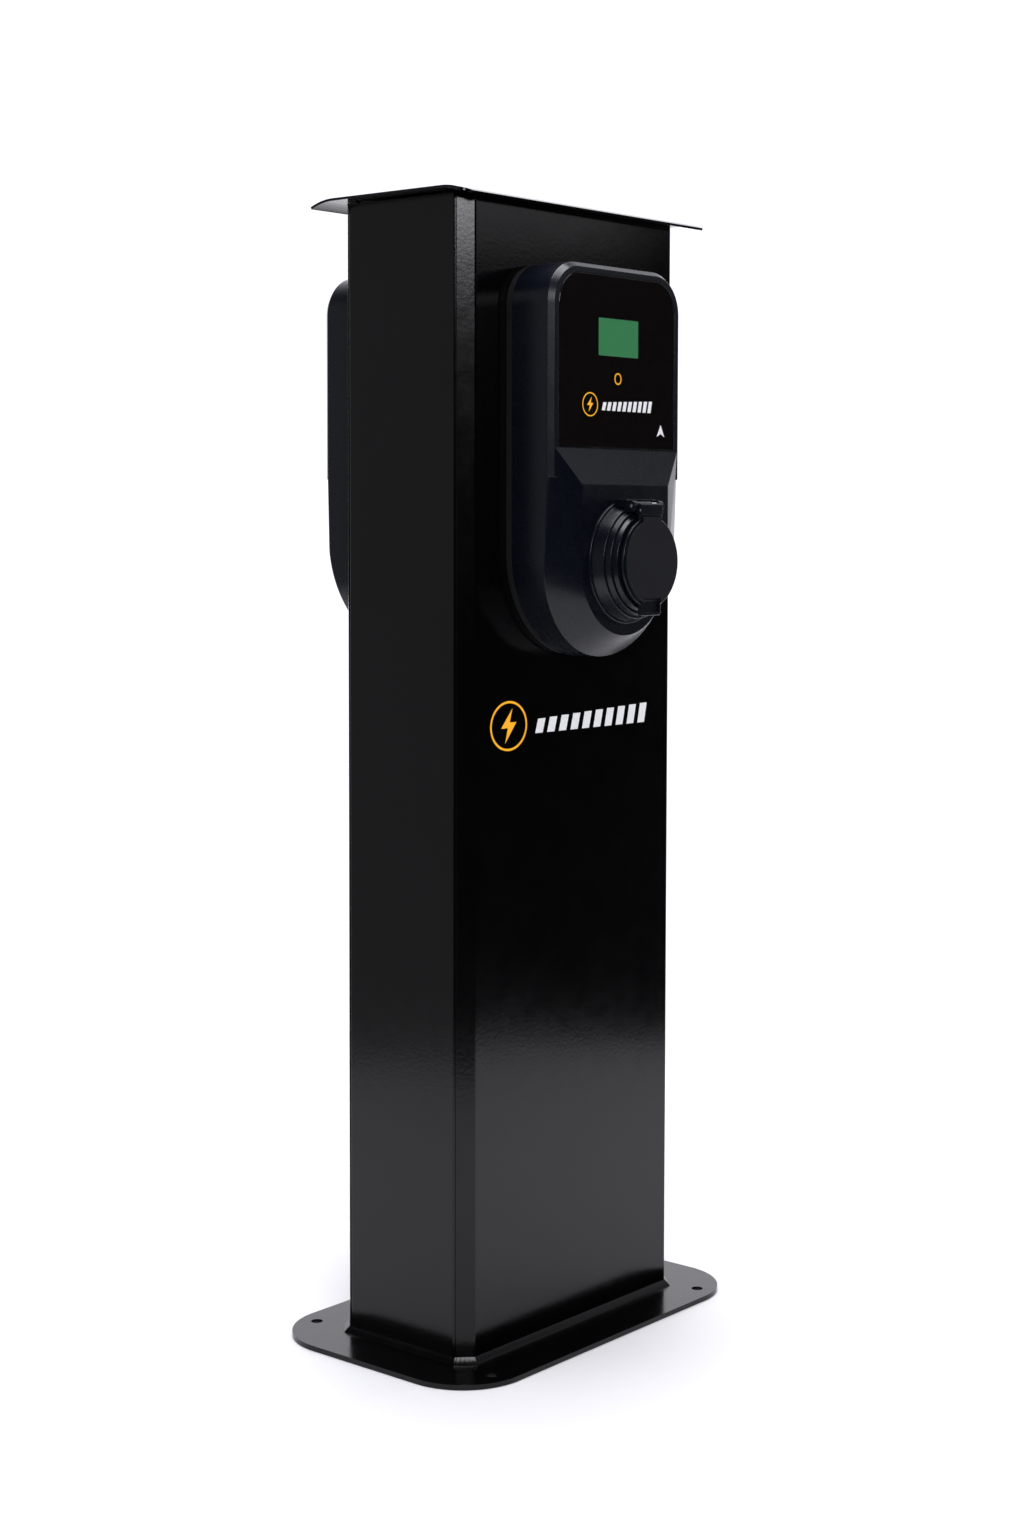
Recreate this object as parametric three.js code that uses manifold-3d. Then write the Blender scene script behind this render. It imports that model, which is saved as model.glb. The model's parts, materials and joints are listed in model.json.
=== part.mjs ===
// EV charging post: a folded sheet steel column on a floor plate, with one charger on each wide face.
// Millimetres, +Z up. Origin: centre of the floor plate's underside. The front charger faces -Y.
import * as THREE from 'three';
import { ConvexGeometry } from 'three/addons/geometries/ConvexGeometry.js';
import { mergeVertices } from 'three/addons/utils/BufferGeometryUtils.js';
import Module from 'manifold-3d';

const wasm = await Module();
wasm.setup();

// ---------- driving dimensions ----------
const GAP = 0.3;                 // clearance between pieces that touch
const POST = { width: 400, depth: 200, chamfer: 16, sheet: 2.5, top: 1350, wallTop: 1345 };
const PLATE = { width: 530, depth: 330, radius: 82, thick: 6, holeRadius: 7, holeX: 200, holeY: 140 };
const CABLE_ENTRY = { width: 120, depth: 80, radius: 12 };
const WELD = 7;                  // leg of the bead round the foot
const CAP = { width: 450, depth: 240, sheet: 3, bendStart: 84, bendRadius: 90, bendAngle: 23.6, relief: 13 };
const FLANGE = 18;               // inward returns of the two narrow panels
const RAIL = { leg: 25, thick: 3, halfLength: 170 };
const ACCESS_SCREW = { radius: 3, holeRadius: 3.4, headRadius: 6.5, head: 3.2, length: 14 };
const ACCESS_SCREWS = [[-62, 90], [62, 90], [-62, 1250], [62, 1250]];    // y and z of each

const CHARGER = { halfWidth: 123, top: 1272, cornerRadius: 49, wall: 3 };
const CHARGER_X = { front: -10, rear: -32 };    // where each charger's middle stands on its face
const BACK = { thick: 10, inset: 1.5 };
const RIM = { wallOut: 62, out: 69, bevel: 5.5 };        // "out" is the distance from the column's face
const GLASS = { halfWidth: 109.5, low: 1062, high: 1260, radius: 37, thick: 3, ledge: 2.5 };
const DISPLAY = { halfWidth: 37.5, low: 1168, high: 1211 };
const U_OUTER = { centre: 941, sideOut: 60, bottomOut: 46 };
const U_INNER = { halfWidth: 82, centre: 926, top: 1019, out: 81 };
const SLOPE = { top: 1060, halfWidth: 116, shoulder: 1027 };
const SOCKET = { z: 930, cupRadius: 35.5, cupBore: 32.5, insertRadius: 23.5, back: 40, floor: 6, front: 109 };
const CONTACTS = {               // x and z of each bore from the socket's middle
  deep: 30, wide: 3.2, narrow: 1.9, mouth: 6, flatTop: 17,
  wideAt: [[0, 0], [-12, 0], [12, 0], [-7, -12.5], [7, -12.5]],
  narrowAt: [[-6.5, 11], [6.5, 11]],
};
const COLLAR = {                 // step points are radius and out, from the base ring to the front face
  bore: 36.2, front: 111.3,
  steps: [[72, 84.8], [69, 85.3], [68.5, 92], [66.5, 93], [65.5, 99.5], [62.5, 100.5], [62, 105], [59, 106],
    [58.5, 108.5], [56, 109.5]],
};
const LID = {
  radius: 52.5, back: 113.6, front: 120, edge: 1.6, armWidth: 42, armTop: 986, tabWidth: 39, tabLow: 868,
};
const HINGE = {
  z: 994.5, out: 109, pinRadius: 2.2, boreRadius: 2.55, knuckle: 5.6, ear: 6.6, halfWidth: 28,
};
const KNUCKLE = { from: -21, to: 8 };
const BRACKET = { low: 984, high: 1002.4, back: 85.7, front: 102.8, earInside: 21.6 };
const SPRING = { start: 9.4, length: 11, radius: 3.9, wire: 0.6, turns: 4 };
const LOCK = { out: 66, radius: 3, low: 963, high: 990 };
const GLAND = { z: 885, radius: 12, holeRadius: 12.8, flange: 16 };
const CONTROL_BOARD = { halfWidth: 95, low: 1070, high: 1240, out: 41, thick: 1.6 };
const BREAKER = {
  x: 64, halfWidth: 36, low: 420, high: 505, faceY: -30, noseY: -45, noseLow: 438, noseHigh: 486,
  axisY: -42, axisZ: 462, drum: 8.4, drumBore: 9,
};
const LEAD = 7.5;                // radius of the lead from a breaker to its charger
const BACKBOARD = { y: 25, low: 250, high: 650 };

// ---------- finishes ----------
const finish = (color, roughness, metalness) => () => (
  new THREE.MeshStandardMaterial({ color, roughness, metalness }));
const BLACK_COAT = finish(0x16161a, 0.42, 0.0);
const SHELL = finish(0x20262e, 0.48, 0.0);
const BLACK_PLASTIC = finish(0x0d0e10, 0.55, 0.0);
const DARK_GLASS = finish(0x0b0a09, 0.08, 0.0);
const GREEN_LCD = finish(0x408454, 0.4, 0.0);
const GREY_PLASTIC = finish(0xb9bcbd, 0.5, 0.0);
const CIRCUIT_BOARD = finish(0x1d5a38, 0.5, 0.0);
const STEEL = finish(0x9a9c9e, 0.35, 1.0);
const COPPER = finish(0xb87a4b, 0.35, 1.0);
const RUBBER = finish(0x0a0a0a, 0.8, 0.0);

// ---------- joining, cutting and orienting closed meshes ----------
function solidOf(geometry) {
  const plain = geometry.clone();
  plain.deleteAttribute('normal');
  plain.deleteAttribute('uv');
  const merged = mergeVertices(plain, 1e-4);
  const triangles = Uint32Array.from(merged.index.array);
  const points = Float32Array.from(merged.attributes.position.array);
  return new wasm.Manifold(new wasm.Mesh({ numProp: 3, vertProperties: points, triVerts: triangles }));
}

function geometryOf(solid) {
  const mesh = solid.getMesh();
  const geometry = new THREE.BufferGeometry();
  geometry.setAttribute('position', new THREE.BufferAttribute(Float32Array.from(mesh.vertProperties), 3));
  geometry.setIndex(new THREE.BufferAttribute(Uint32Array.from(mesh.triVerts), 1));
  geometry.computeVertexNormals();
  return geometry;
}

const join = (...pieces) => geometryOf(pieces.map(solidOf).reduce((a, b) => a.add(b)));
const cut = (body, ...tools) => (
  geometryOf(tools.map(solidOf).reduce((a, b) => a.subtract(b), solidOf(body))));

function outward(geometry) {
  const flat = geometry.index ? geometry.toNonIndexed() : geometry;
  const p = flat.attributes.position;
  const [a, b, c] = [new THREE.Vector3(), new THREE.Vector3(), new THREE.Vector3()];
  let volume = 0;
  for (let i = 0; i < p.count; i += 3) {
    a.fromBufferAttribute(p, i);
    b.fromBufferAttribute(p, i + 1);
    c.fromBufferAttribute(p, i + 2);
    volume += a.dot(b.cross(c));
  }
  if (volume > 0) return geometry;
  for (let i = 0; i < p.count; i += 3) {
    b.fromBufferAttribute(p, i + 1);
    c.fromBufferAttribute(p, i + 2);
    p.setXYZ(i + 1, c.x, c.y, c.z);
    p.setXYZ(i + 2, b.x, b.y, b.z);
  }
  flat.computeVertexNormals();
  return flat;
}

// ---------- outlines and basic solids ----------
function arcPoints(cx, cy, radius, from, to, steps) {
  const points = [];
  for (let i = 0; i <= steps; i += 1) {
    const angle = THREE.MathUtils.degToRad(from + (to - from) * i / steps);
    points.push(new THREE.Vector2(cx + radius * Math.cos(angle), cy + radius * Math.sin(angle)));
  }
  return points;
}

function roundedRect(halfX, lowY, highY, radius, steps) {
  return [
    ...arcPoints(halfX - radius, highY - radius, radius, 0, 90, steps),
    ...arcPoints(-halfX + radius, highY - radius, radius, 90, 180, steps),
    ...arcPoints(-halfX + radius, lowY + radius, radius, 180, 270, steps),
    ...arcPoints(halfX - radius, lowY + radius, radius, 270, 360, steps),
  ];
}

// Square at its lower corners and rounded at its upper ones.
function archedRect(halfX, low, high, radius, steps) {
  return [new THREE.Vector2(-halfX, low), new THREE.Vector2(halfX, low),
    ...arcPoints(halfX - radius, high - radius, radius, 0, 90, steps),
    ...arcPoints(-halfX + radius, high - radius, radius, 90, 180, steps)];
}

const circle = (cx, cy, radius, steps) => arcPoints(cx, cy, radius, 0, 360, steps).slice(0, -1);
const plan = (outline, low, high) => new THREE.ExtrudeGeometry(new THREE.Shape(outline),
  { depth: high - low, bevelEnabled: false }).translate(0, 0, low);

// An outline in x and z, extruded from one distance out of the column's face to another.
const slab = (outline, from, to) => plan(outline, from, to).rotateX(Math.PI / 2);

// An outline in out and z, extruded along x.
const ALONG_X = new THREE.Matrix4().makeBasis(
  new THREE.Vector3(0, -1, 0), new THREE.Vector3(0, 0, 1), new THREE.Vector3(-1, 0, 0));
const along = (outline, x0, x1) => plan(outline, -x1, -x0).applyMatrix4(ALONG_X);

const box = (x0, x1, y0, y1, z0, z1) => new THREE.BoxGeometry(x1 - x0, y1 - y0, z1 - z0)
  .translate((x0 + x1) / 2, (y0 + y1) / 2, (z0 + z1) / 2);

// A turned piece whose axis points straight out of the column's face: profile points are [radius, out].
function turned(profile, x, z, steps) {
  const closed = profile[0][0] === 0 ? profile : [...profile, profile[0]];
  const points = closed.map(([r, out]) => new THREE.Vector2(r, out));
  return outward(new THREE.LatheGeometry(points, steps)).rotateX(Math.PI).translate(x, 0, z);
}

// A cylinder along x or along z between two coordinates.
const rodX = (radius, x0, x1, y, z, steps = 16) => new THREE.CylinderGeometry(radius, radius, x1 - x0, steps)
  .rotateZ(Math.PI / 2).translate((x0 + x1) / 2, y, z);
const rodZ = (radius, z0, z1, x, y, steps = 16) => new THREE.CylinderGeometry(radius, radius, z1 - z0, steps)
  .rotateX(Math.PI / 2).translate(x, y, (z0 + z1) / 2);

const hull = (points) => new ConvexGeometry(points);
const out3 = (x, out, z) => new THREE.Vector3(x, -out, z);

function tube(points, radius, sides, steps) {
  const path = new THREE.CatmullRomCurve3(points);
  const section = new THREE.Shape(circle(0, 0, radius, sides));
  return outward(new THREE.ExtrudeGeometry(section, { steps, extrudePath: path, bevelEnabled: false }));
}

// ---------- post ----------
function basePlate() {
  const outline = roundedRect(PLATE.width / 2, -PLATE.depth / 2, PLATE.depth / 2, PLATE.radius, 10);
  const tools = [];
  for (const x of [-PLATE.holeX, PLATE.holeX]) {
    for (const y of [-PLATE.holeY, PLATE.holeY]) {
      tools.push(rodZ(PLATE.holeRadius, -1, PLATE.thick + 1, x, y));
    }
  }
  tools.push(plan(roundedRect(CABLE_ENTRY.width / 2, -CABLE_ENTRY.depth / 2, CABLE_ENTRY.depth / 2,
    CABLE_ENTRY.radius, 4), -1, PLATE.thick + 1));
  return cut(plan(outline, 0, PLATE.thick), ...tools);
}

// The column's plan outline, moved outwards by a given amount.
function postOutline(grow) {
  const halfX = POST.width / 2 + grow;
  const halfY = POST.depth / 2 + grow;
  const c = POST.chamfer + grow * (2 - Math.SQRT2);
  return [[halfX, -halfY + c], [halfX, halfY - c], [halfX - c, halfY], [-halfX + c, halfY],
    [-halfX, halfY - c], [-halfX, -halfY + c], [-halfX + c, -halfY], [halfX - c, -halfY],
  ].map(([x, y]) => new THREE.Vector2(x, y));
}

function footWeld() {
  const low = PLATE.thick + GAP;
  const lower = postOutline(GAP + WELD).map((p) => new THREE.Vector3(p.x, p.y, low));
  const upper = postOutline(GAP + 0.8).map((p) => new THREE.Vector3(p.x, p.y, low + WELD));
  return cut(hull([...lower, ...upper]), plan(postOutline(GAP), low - 1, low + WELD + 1));
}

// A wide panel: flat face with a 45 degree strip folded back at each side.
function widePanel(glandX) {
  const halfX = POST.width / 2;
  const face = POST.depth / 2;
  const t = POST.sheet;
  const c = POST.chamfer;
  const fold = t * Math.tan(Math.PI / 8);
  const outline = [
    [-halfX, face - c], [-halfX + c, face], [halfX - c, face], [halfX, face - c],
    [halfX - t * Math.SQRT2, face - c], [halfX - c - fold, face - t],
    [-halfX + c + fold, face - t], [-halfX + t * Math.SQRT2, face - c],
  ].map(([x, y]) => new THREE.Vector2(x, y));
  const sheet = plan(outline, PLATE.thick + GAP, POST.wallTop);
  const glandHole = slab(circle(glandX, GLAND.z, GLAND.holeRadius, 16), -1, t + 1)
    .translate(0, face, 0);
  return cut(sheet, glandHole);
}

// A narrow panel: flat face with a short return along each edge, inside the column.
function narrowPanel(screwHoles) {
  const x = POST.width / 2;
  const halfY = POST.depth / 2 - POST.chamfer - 0.5;
  const t = POST.sheet;
  const outline = [
    [x, -halfY], [x, halfY], [x - FLANGE, halfY], [x - FLANGE, halfY - t], [x - t, halfY - t],
    [x - t, -halfY + t], [x - FLANGE, -halfY + t], [x - FLANGE, -halfY],
  ].map(([px, py]) => new THREE.Vector2(px, py));
  const sheet = plan(outline, PLATE.thick + GAP, POST.wallTop);
  if (!screwHoles) return sheet;
  const holes = ACCESS_SCREWS.map(([y, z]) => rodX(ACCESS_SCREW.holeRadius, x - 8, x + 8, y, z, 12));
  return cut(sheet, ...holes);
}

function accessScrew(y, z) {
  const face = POST.width / 2 + GAP;
  const shank = rodX(ACCESS_SCREW.radius, face - ACCESS_SCREW.length, face + 1, y, z, 12);
  return join(shank, rodX(ACCESS_SCREW.headRadius, face, face + ACCESS_SCREW.head, y, z, 16));
}

// The folded cap. Two opposite corners are relieved.
function capPlate() {
  const bend = (radius, from, to) => arcPoints(CAP.bendStart, POST.top - CAP.bendRadius, radius, from, to, 6);
  const edge = 90 - CAP.bendAngle;
  const upper = bend(CAP.bendRadius, 90, edge);
  const lower = bend(CAP.bendRadius - CAP.sheet, edge, 90);
  const half = [...upper, ...lower];
  const mirrored = [...half].reverse().map((p) => new THREE.Vector2(-p.x, p.y));
  const sheet = along([...half, ...mirrored], -CAP.width / 2, CAP.width / 2);
  const reliefs = [-1, 1].map((end) => rodZ(
    CAP.relief, POST.top - 40, POST.top + 10, end * CAP.width / 2, end * CAP.depth / 2, 24));
  return cut(sheet, ...reliefs);
}

// The angle bar inside the top of a wide panel that the cap is fixed to.
function capRail() {
  const y = POST.depth / 2 - POST.sheet - GAP;
  const z = POST.wallTop;
  const leg = RAIL.leg;
  const t = RAIL.thick;
  const outline = [[y, z], [y, z - leg], [y - t, z - leg], [y - t, z - t], [y - leg, z - t], [y - leg, z]]
    .map(([py, pz]) => new THREE.Vector2(-py, pz));
  return along(outline, -RAIL.halfLength, RAIL.halfLength);
}

// ---------- supply equipment inside the column ----------
function backboard() {
  const halfX = POST.width / 2 - POST.sheet - 1;
  const t = 2;
  const y = BACKBOARD.y;
  const outline = [[-halfX, y], [halfX, y], [halfX, y + 30], [halfX - t, y + 30], [halfX - t, y + t],
    [-halfX + t, y + t], [-halfX + t, y + 30], [-halfX, y + 30],
  ].map(([px, py]) => new THREE.Vector2(px, py));
  return plan(outline, BACKBOARD.low, BACKBOARD.high);
}

function mountingRail() {
  const y = BACKBOARD.y - GAP;
  const z = (BREAKER.low + BREAKER.high) / 2;
  const t = 1;
  const outline = [[y, 12.5], [y, -12.5], [y - 6.5, -12.5], [y - 6.5, -17.5], [y - 7.5, -17.5],
    [y - 7.5, -11.5], [y - t, -11.5], [y - t, 11.5], [y - 7.5, 11.5], [y - 7.5, 17.5], [y - 6.5, 17.5],
    [y - 6.5, 12.5],
  ].map(([py, pz]) => new THREE.Vector2(-py, z + pz));
  return along(outline, -150, 150);
}

function breakerBody() {
  const back = BACKBOARD.y - 7.5 - 2 * GAP;
  const { low, high, faceY, noseY, noseLow, noseHigh } = BREAKER;
  const profile = [[back, low], [back, high], [faceY, high], [faceY, noseHigh], [noseY, noseHigh],
    [noseY, noseLow], [faceY, noseLow], [faceY, low]].map(([y, z]) => new THREE.Vector2(-y, z));
  const body = along(profile, -BREAKER.halfWidth, BREAKER.halfWidth);
  return cut(body, rodX(BREAKER.drumBore, -31, 31, BREAKER.axisY, BREAKER.axisZ, 24));
}

// The linked toggle: a drum in the breaker's nose with a lever that points up and out when it is on.
function breakerToggle() {
  const drum = rodX(BREAKER.drum, -30.4, 30.4, 0, 0, 24);
  const lever = box(-22, 22, -17, 0, -1.5, 1.5).rotateX(THREE.MathUtils.degToRad(-30));
  return join(drum, lever).translate(0, BREAKER.axisY, BREAKER.axisZ);
}

function terminalBlock() {
  const back = BACKBOARD.y - GAP;
  const slots = [-40, -20, 0, 20, 40].map((x) => box(x - 1, x + 1, -20, -8, 300, 400));
  return cut(box(-60, 60, -14, back, 320, 365), ...slots);
}

function earthBar() {
  const back = BACKBOARD.y - GAP;
  const holes = [-40, -20, 0, 20, 40].map((x) => rodZ(2.5, 270, 300, x, back - 9, 8));
  const foot = (x) => box(x - 5, x + 5, back - 6, back, 280, 292);
  return cut(join(box(-55, 55, back - 13, back - 5, 280, 292), foot(-48), foot(48)), ...holes);
}

// ---------- charger, modelled as the front one with its column face at y = 0 ----------
// The upper outline of the shell, moved inwards by an inset and closed off at a low edge.
const upperOutline = (inset, low, steps = 8) => archedRect(
  CHARGER.halfWidth - inset, low, CHARGER.top - inset, CHARGER.cornerRadius - inset, steps);

// The whole outline of the shell: rounded at the top, a half circle at the bottom.
function shieldOutline(inset, steps) {
  const radius = CHARGER.halfWidth - inset;
  return [...upperOutline(inset, U_OUTER.centre, steps).slice(2),
    ...arcPoints(0, U_OUTER.centre, radius, 180, 360, 4 * steps)];
}

function upperBlock(inset, back, lowerEdge) {
  const wall = upperOutline(inset, lowerEdge);
  const rim = upperOutline(inset + RIM.bevel, lowerEdge);
  const frontOut = RIM.out - inset;
  const points = [
    ...wall.map((p) => out3(p.x, back, p.y)),
    ...wall.map((p) => out3(p.x, RIM.wallOut - inset, p.y)),
    ...rim.map((p) => out3(p.x, frontOut, p.y)),
  ];
  return hull(points);
}

// The lower boss: a broad bevel runs from the outer U on the side wall up to the inner U round the socket.
function lowerBoss(inset, back) {
  const points = [];
  const radius = CHARGER.halfWidth - inset;
  for (const p of arcPoints(0, U_OUTER.centre, radius, 180, 360, 32)) {
    const drop = (U_OUTER.centre - p.y) / radius;
    const edge = U_OUTER.sideOut + (U_OUTER.bottomOut - U_OUTER.sideOut) * drop - inset;
    points.push(out3(p.x, back, p.y), out3(p.x, edge, p.y));
  }
  for (const p of arcPoints(0, U_INNER.centre, U_INNER.halfWidth - inset, 180, 360, 32)) {
    points.push(out3(p.x, U_INNER.out - inset, p.y));
  }
  for (const side of [-1, 1]) {
    points.push(out3(side * (U_INNER.halfWidth - inset), U_INNER.out - inset, U_INNER.top - inset));
    points.push(out3(side * radius, RIM.wallOut - inset, SLOPE.shoulder));
    points.push(out3(side * radius, back, SLOPE.shoulder));
    points.push(out3(side * (SLOPE.halfWidth - inset), RIM.out - inset, SLOPE.top - inset));
    points.push(out3(side * (SLOPE.halfWidth - inset), back, SLOPE.top - inset));
  }
  return hull(points);
}

function cover() {
  const back = BACK.thick + GAP;
  const outer = join(upperBlock(0, back, SLOPE.shoulder), lowerBoss(0, back));
  const w = CHARGER.wall;
  const cavity = join(upperBlock(w, back - 5, SLOPE.shoulder), lowerBoss(w, back - 5));
  const floorOut = RIM.out - GLASS.thick - GAP;
  const behindGlass = slab(archedRect(GLASS.halfWidth + 6, GLASS.low - 6, GLASS.high + 6, GLASS.radius, 8),
    floorOut - GLASS.ledge, RIM.out + 5);
  const hollow = cut(cavity, behindGlass);
  const pocket = slab(archedRect(GLASS.halfWidth + GAP, GLASS.low - GAP, GLASS.high + GAP, GLASS.radius, 8),
    floorOut, RIM.out + 5);
  const view = roundedRect(DISPLAY.halfWidth + 5, DISPLAY.low - 5, DISPLAY.high + 5, 3, 2);
  const window = slab(view, CONTROL_BOARD.out + 9, RIM.out);
  const socketHole = slab(circle(0, SOCKET.z, SOCKET.cupRadius + 0.7, 32), 60, 90);
  return cut(outer, hollow, pocket, window, socketHole);
}

function backPlate() {
  const gland = slab(circle(0, GLAND.z, GLAND.holeRadius, 16), -1, BACK.thick + 1);
  return cut(slab(shieldOutline(BACK.inset, 7), GAP, BACK.thick), gland);
}

// The tray that holds the electronics, inside the shell.
function tray() {
  const inset = CHARGER.wall + 1;
  const low = BACK.thick + GAP;
  const solid = slab(shieldOutline(inset, 4), low, low + 22);
  const inside = slab(shieldOutline(inset + 2, 4), low + 2.5, low + 30);
  return cut(solid, inside, slab(circle(0, GLAND.z, GLAND.holeRadius, 16), 0, 20));
}

const glass = () => slab(archedRect(GLASS.halfWidth, GLASS.low, GLASS.high, GLASS.radius - GAP, 10),
  RIM.out - GLASS.thick, RIM.out);

function display() {
  const { halfWidth, low, high } = DISPLAY;
  const front = RIM.out - GLASS.thick - 2 * GAP;
  const face = slab(roundedRect(halfWidth, low, high, 1, 1), front - 4, front);
  const frame = slab(roundedRect(halfWidth + 4, low - 4, high + 4, 2, 1), front - 9, front - 4);
  return join(face, frame);
}

function controlBoard() {
  const { halfWidth, low, high, out, thick } = CONTROL_BOARD;
  const face = out + thick;
  const board = box(-halfWidth, halfWidth, -face, -out, low, high);
  const chip = (x0, x1, tall, z0, z1) => box(x0, x1, -tall, -face + 0.6, z0, z1);
  const chips = [chip(-80, -40, 50, 1180, 1220), chip(-20, 10, 46, 1090, 1120), chip(40, 70, 48, 1150, 1200)];
  return join(board, ...chips);
}

function contactor() {
  const body = box(-80, -20, -37, -13.2, 1090, 1170);
  const feet = box(-86, -14, -17, -13.2, 1100, 1160);
  return join(body, feet);
}

// The socket: a cup with a hole in its top wall for the lock pin.
function socket() {
  const { back, front, floor, cupRadius, cupBore, z } = SOCKET;
  const cup = turned([[0, back], [cupRadius, back], [cupRadius, front], [cupBore, front],
    [cupBore, back + floor], [0, back + floor]], 0, z, 32);
  return cut(cup, rodZ(LOCK.radius + 0.4, z + 25, z + 45, 0, -LOCK.out));
}

// The block that stands in the cup: flat on top, with a blind bore for each contact.
function contactBlock() {
  const { back, front, floor, insertRadius, z } = SOCKET;
  const low = back + floor + GAP;
  const high = front - CONTACTS.mouth;
  const round = slab(circle(0, z, insertRadius, 32), low, high);
  const flat = box(-40, 40, -front, -back, z + CONTACTS.flatTop, z + 40);
  const bore = (radius, sides) => ([x, dz]) => (
    slab(circle(x, z + dz, radius, sides), front - CONTACTS.deep, front));
  const wide = CONTACTS.wideAt.map(bore(CONTACTS.wide, 10));
  const narrow = CONTACTS.narrowAt.map(bore(CONTACTS.narrow, 8));
  return cut(round, flat, ...wide, ...narrow);
}

// The collar's profile, moved outwards by a given amount, with a bore of its own.
function collarProfile(bore, grow) {
  const low = U_INNER.out + GAP;
  const ring = [[72.5, low], ...COLLAR.steps, [55.5, COLLAR.front]];
  const grown = ring.map(([radius, out]) => [radius + grow, out + grow]);
  return [[bore, low], ...grown, [bore, COLLAR.front + grow]];
}

// The stepped collar round the socket, hollowed at the top where the lid's knuckle turns.
function collar() {
  const ring = turned(collarProfile(COLLAR.bore, 0), 0, SOCKET.z, 48);
  return cut(ring, rodX(HINGE.knuckle + 1.4, -22, 22, -HINGE.out, HINGE.z, 24));
}

const lidSeal = () => turned([[38, COLLAR.front + GAP], [46, COLLAR.front + GAP], [45, LID.back - GAP],
  [39, LID.back - GAP]], 0, SOCKET.z, 32);

function lidOutline(inset) {
  const r = LID.radius - inset;
  const arm = LID.armWidth / 2 - inset;
  const tab = LID.tabWidth / 2 - inset;
  const angle = (half) => THREE.MathUtils.radToDeg(Math.acos(half / r));
  return [
    ...arcPoints(0, SOCKET.z, r, angle(arm), -angle(tab), 11),
    ...arcPoints(tab - 6, LID.tabLow + 6 + inset, 6, 0, -90, 3),
    ...arcPoints(-tab + 6, LID.tabLow + 6 + inset, 6, -90, -180, 3),
    ...arcPoints(0, SOCKET.z, r, 180 + angle(tab), 180 - angle(arm), 11),
    new THREE.Vector2(-arm, LID.armTop - inset), new THREE.Vector2(arm, LID.armTop - inset),
  ];
}

function lid() {
  const edge = LID.edge;
  const plate = new THREE.ExtrudeGeometry(new THREE.Shape(lidOutline(edge)), {
    depth: LID.front - LID.back - 2 * edge, bevelThickness: edge, bevelSize: edge, bevelSegments: 1,
  }).translate(0, 0, LID.back + edge).rotateX(Math.PI / 2);
  const dish = turned([[0, LID.back - 1], [34, LID.back - 1], [32, LID.back + 2.5], [0, LID.back + 2.5]],
    0, SOCKET.z, 32);
  const points = [];
  const front = LID.front - 0.4;
  for (const x of [KNUCKLE.from, KNUCKLE.to]) {
    for (const p of circle(HINGE.out, HINGE.z, HINGE.knuckle, 16)) points.push(out3(x, p.x, p.y));
    points.push(out3(x, LID.back + 1.5, LID.armTop - 2));
    points.push(out3(x, front, LID.armTop - 2), out3(x, front, LID.armTop + 4));
  }
  const bore = rodX(HINGE.boreRadius, -30, 30, -HINGE.out, HINGE.z);
  return cut(join(cut(plate, dish), hull(points)), bore);
}

// The bracket that carries the lid: a block seated on the collar's steps, with two ears.
function hingeBracket() {
  const { low, high, back, front, earInside } = BRACKET;
  const half = HINGE.halfWidth;
  const block = box(-half, half, -front, -back, low, high);
  const ear = (x0, x1) => hull([x0, x1].flatMap((x) => [
    ...circle(HINGE.out, HINGE.z, HINGE.ear, 16).map((p) => out3(x, p.x, p.y)),
    out3(x, back, low), out3(x, back, high)]));
  const bore = rodX(HINGE.pinRadius + GAP, -30, 30, -HINGE.out, HINGE.z);
  const seat = turned(collarProfile(0, GAP), 0, SOCKET.z, 48);
  return cut(join(block, ear(-half, -earInside), ear(earInside, half)), bore, seat);
}

const hingePin = () => rodX(HINGE.pinRadius, -HINGE.halfWidth, HINGE.halfWidth, -HINGE.out, HINGE.z);

function lidSpring() {
  const points = [];
  const { start, length, radius, wire, turns } = SPRING;
  const stepsPerTurn = 8;
  for (let i = 0; i <= turns * stepsPerTurn; i += 1) {
    const angle = 2 * Math.PI * i / stepsPerTurn;
    const x = start + length * i / (turns * stepsPerTurn);
    points.push(out3(x, HINGE.out + radius * Math.cos(angle), HINGE.z + radius * Math.sin(angle)));
  }
  return tube(points, wire, 4, turns * stepsPerTurn);
}

const lockPin = () => rodZ(LOCK.radius, LOCK.low, LOCK.high, 0, -LOCK.out);

function lockActuator() {
  const body = box(-14, 14, -75, -54, 968, 1006);
  return cut(body, rodZ(LOCK.radius + 0.4, 960, 1000, 0, -LOCK.out));
}

const cableGland = () => turned([[0, -14], [GLAND.radius - 2, -14], [GLAND.radius, -12], [GLAND.radius, 13.1],
  [GLAND.flange, 13.1], [GLAND.flange, 18], [9, 24], [0, 24]], 0, GLAND.z, 16);

// ---------- assembly ----------
const post = new THREE.Group();

function add(parent, name, geometry, material) {
  const mesh = new THREE.Mesh(geometry, material());
  mesh.name = name;
  parent.add(mesh);
  return mesh;
}

add(post, 'base_plate', basePlate(), BLACK_COAT);
add(post, 'foot_weld', footWeld(), BLACK_COAT);
add(post, 'cap_plate', capPlate(), BLACK_COAT);
add(post, 'right_panel', narrowPanel(true), BLACK_COAT);
add(post, 'left_panel', narrowPanel(false), BLACK_COAT).rotation.z = Math.PI;
ACCESS_SCREWS.forEach(([y, z], i) => add(post, `access_screw_${i + 1}`, accessScrew(y, z), STEEL));
add(post, 'backboard', backboard(), STEEL);
add(post, 'mounting_rail', mountingRail(), STEEL);
add(post, 'terminal_block', terminalBlock(), GREY_PLASTIC);
add(post, 'earth_bar', earthBar(), COPPER);

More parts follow.
